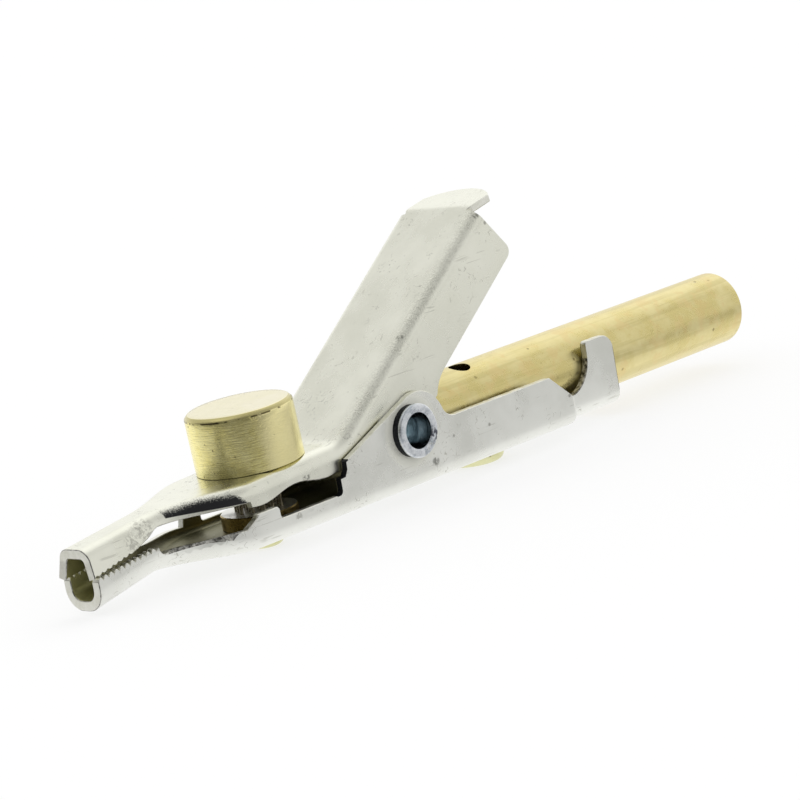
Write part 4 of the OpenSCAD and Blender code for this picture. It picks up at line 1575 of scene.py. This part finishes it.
def makeSpring():
    tree = makeWireTree()
    r, w, whole = spring["radius"], spring["wire"], 2 * math.pi
    low = math.radians(spring["lowerPitch"])
    fromA = math.radians(270) - low
    floorTop = clip["floor"] + clip["sheet"]
    lowLength = (floorTop + w / 2 + spring["gap"] + r * math.cos(low)) / -math.sin(low)
    rise = lever["handleHeight"] - clip["sheet"] - w / 2 - spring["gap"] - r
    upLength = spring["upperLength"]
    up = math.radians(lever["handlePitch"]) + math.asin(rise / upLength)
    toA = math.radians(90) + up - whole * spring["turns"]
    turns = (fromA - toA) / whole
    width = (w + spring["turnGap"]) * turns
    start = (r * math.cos(fromA), -width / 2, r * math.sin(fromA))
    foot = (start[0] + lowLength * math.cos(low), -width / 2, start[2] - lowLength * math.sin(low))
    coil = {
        "Turns": turns,
        "Coil Radius": r * mm,
        "Rise": width * mm,
        "Start Angle": fromA,
        "Start Rise": -width / 2 * mm,
        "Wire Radius": w / 2 * mm,
        "Leg Start": inMetres(start),
        "Leg End": inMetres(foot),
        "Place": spotInFrame(0, 0, 0),
    }
    lap = math.radians(spring["lap"])
    end = (r * math.cos(toA), width / 2, r * math.sin(toA))
    tip = (end[0] + upLength * math.cos(up), width / 2, end[2] + upLength * math.sin(up))
    share = lap / whole / turns
    upper = {
        "Turns": lap / whole,
        "Rise": width * share * mm,
        "Start Angle": toA + lap,
        "Start Rise": (width / 2 - width * share) * mm,
        "Wire Radius": (w / 2 - spring["lapThinner"]) * mm,
        "Leg Start": inMetres(end),
        "Leg End": inMetres(tip),
    }
    return runTree("springCoil", tree, coil), runTree("springLeg", tree, dict(coil, **upper))


springCoil, springLeg = makeSpring()
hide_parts("torsion_spring")
for piece, body in ((springCoil, "base"), (springLeg, "lever")):
    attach(piece, body)
print("nails and spring made")

# Floor, light and camera; a shade has its side, where it starts and ends, and its darkest tone
studio = {
    "eye": (-0.16878, -0.16549, 0.04888),
    "turn": (79.7171, 10.1099, -46.9123),
    "lens": 135.0,
    "sensor": 36.0,
    "near": 0.005,
    "far": 20.0,
    "floorSize": 3.0,
    "floorDrop": 0.00002,
    "floorTone": 0.86,
    "shadowShare": 0.3,
    "frontShade": (0.0, -0.016, 1.0, 0.56),
    "frontLift": (-0.028, -0.070, 0.0, 0.22),
    "floorShades": {
        "corner": ((-0.968, -0.249, 0.0), 0.020, 0.060, 0.46),
        "core": ((-0.689, -0.725, 0.0), 0.040, 0.054, 0.52),
    },
    "skyShades": {
        "behind": ((0.03, 0.68, 0.73), 0.84, 0.98, 0.75),
        "ahead": ((0.15, -0.95, 0.25), 0.3, 0.8, 0.74),
        "bend": ((-0.03, -0.57, 0.81), 0.78, 0.97, 0.66),
        "over": ((0.0, 0.07, 1.0), 0.9, 0.985, 0.8),
        "tube": ((0.7, -0.15, 0.69), 0.93, 0.99, 0.84),
        "dim": ((-0.92, -0.39, 0.0), 0.26, 0.77, 0.23),
        "left": ((-0.86, 0.50, 0.06), 0.58, 0.88, 0.25),
    },
    "sunTurn": (-14.0, 48.0, 0.0),
    "sunAngle": 50.0,
    "sunLevel": 0.02,
}


def shaded(place, shades):
    parts = [ramp(toward(place, side), a, b, 1.0, tone) for side, a, b, tone in shades.values()]
    return times(*parts)


# The floor is white to the camera and keeps a part of the shadow; metal shows its white with a shade toward
# the front and at the left, and from below it is clear
def makeFloor():
    h, z = studio["floorSize"], -studio["floorDrop"]
    material, place = newMaterial("floorWhite")
    paths = put("ShaderNodeLightPath").outputs
    seen = paths["Is Camera Ray"]
    y = split(place)["Y"]
    shade = plus(ramp(y, *studio["frontShade"]), ramp(y, *studio["frontLift"]))
    shade = times(shade, shaded(place, studio["floorShades"]))
    white, tone = (1.0, 1.0, 1.0), studio["floorTone"]
    glow = put("ShaderNodeEmission", {"Color": mixColours(seen, greyOf(shade), white)})
    base = put("ShaderNodeBsdfDiffuse", {"Color": mixColours(seen, (tone, tone, tone), white)})
    mirrored = math2("MAXIMUM", paths["Is Glossy Ray"], paths["Is Transmission Ray"])
    shown = math2("MAXIMUM", times(seen, 1 - studio["shadowShare"]), mirrored)
    both = put("ShaderNodeMixShader", {0: shown, 1: base, 2: glow})
    below = times(put("ShaderNodeNewGeometry").outputs["Backfacing"], seen)
    clear = put("ShaderNodeBsdfTransparent")
    oneSided = put("ShaderNodeMixShader", {0: below, 1: both, 2: clear})
    put("ShaderNodeOutputMaterial", {"Surface": oneSided})
    material.cycles.emission_sampling = "NONE"
    corners = [(-h, -h, z), (h, -h, z), (h, h, z), (-h, h, z)]
    newObject("floor", corners, [(0, 1, 2, 3)], [material])


# A white sky, which metal shows with a shade behind, ahead and most of all at the left
def makeWorld():
    world = bpy.data.worlds.new("studio")
    bpy.context.scene.world = world
    world.use_nodes = True
    drawing.tree = world.node_tree
    drawing.tree.nodes.clear()
    shade = shaded(put("ShaderNodeTexCoord").outputs["Generated"], studio["skyShades"])
    dull = minus(1.0, put("ShaderNodeLightPath").outputs["Is Glossy Ray"])
    grey = greyOf(math2("MAXIMUM", shade, dull))
    back = put("ShaderNodeBackground", {"Color": grey, "Strength": 1.0})
    put("ShaderNodeOutputWorld", {"Surface": back})


def placeObject(name, data, turn):
    obj = bpy.data.objects.new(name, data)
    obj.rotation_euler = [math.radians(a) for a in turn]
    bpy.context.scene.collection.objects.link(obj)
    return obj


def makeSun():
    data = bpy.data.lights.new("sun", "SUN")
    data.angle = math.radians(studio["sunAngle"])
    data.energy = studio["sunLevel"] * math.pi
    placeObject("sun", data, studio["sunTurn"])


def makeCamera():
    data = bpy.data.cameras.new("camera")
    data.lens = studio["lens"]
    data.sensor_width = studio["sensor"]
    data.clip_start, data.clip_end = studio["near"], studio["far"]
    camera = placeObject("camera", data, studio["turn"])
    camera.location = studio["eye"]
    bpy.context.scene.camera = camera


makeFloor()
makeWorld()
makeSun()
makeCamera()
bpy.context.scene.view_settings.view_transform = "Standard"
print("studio made")
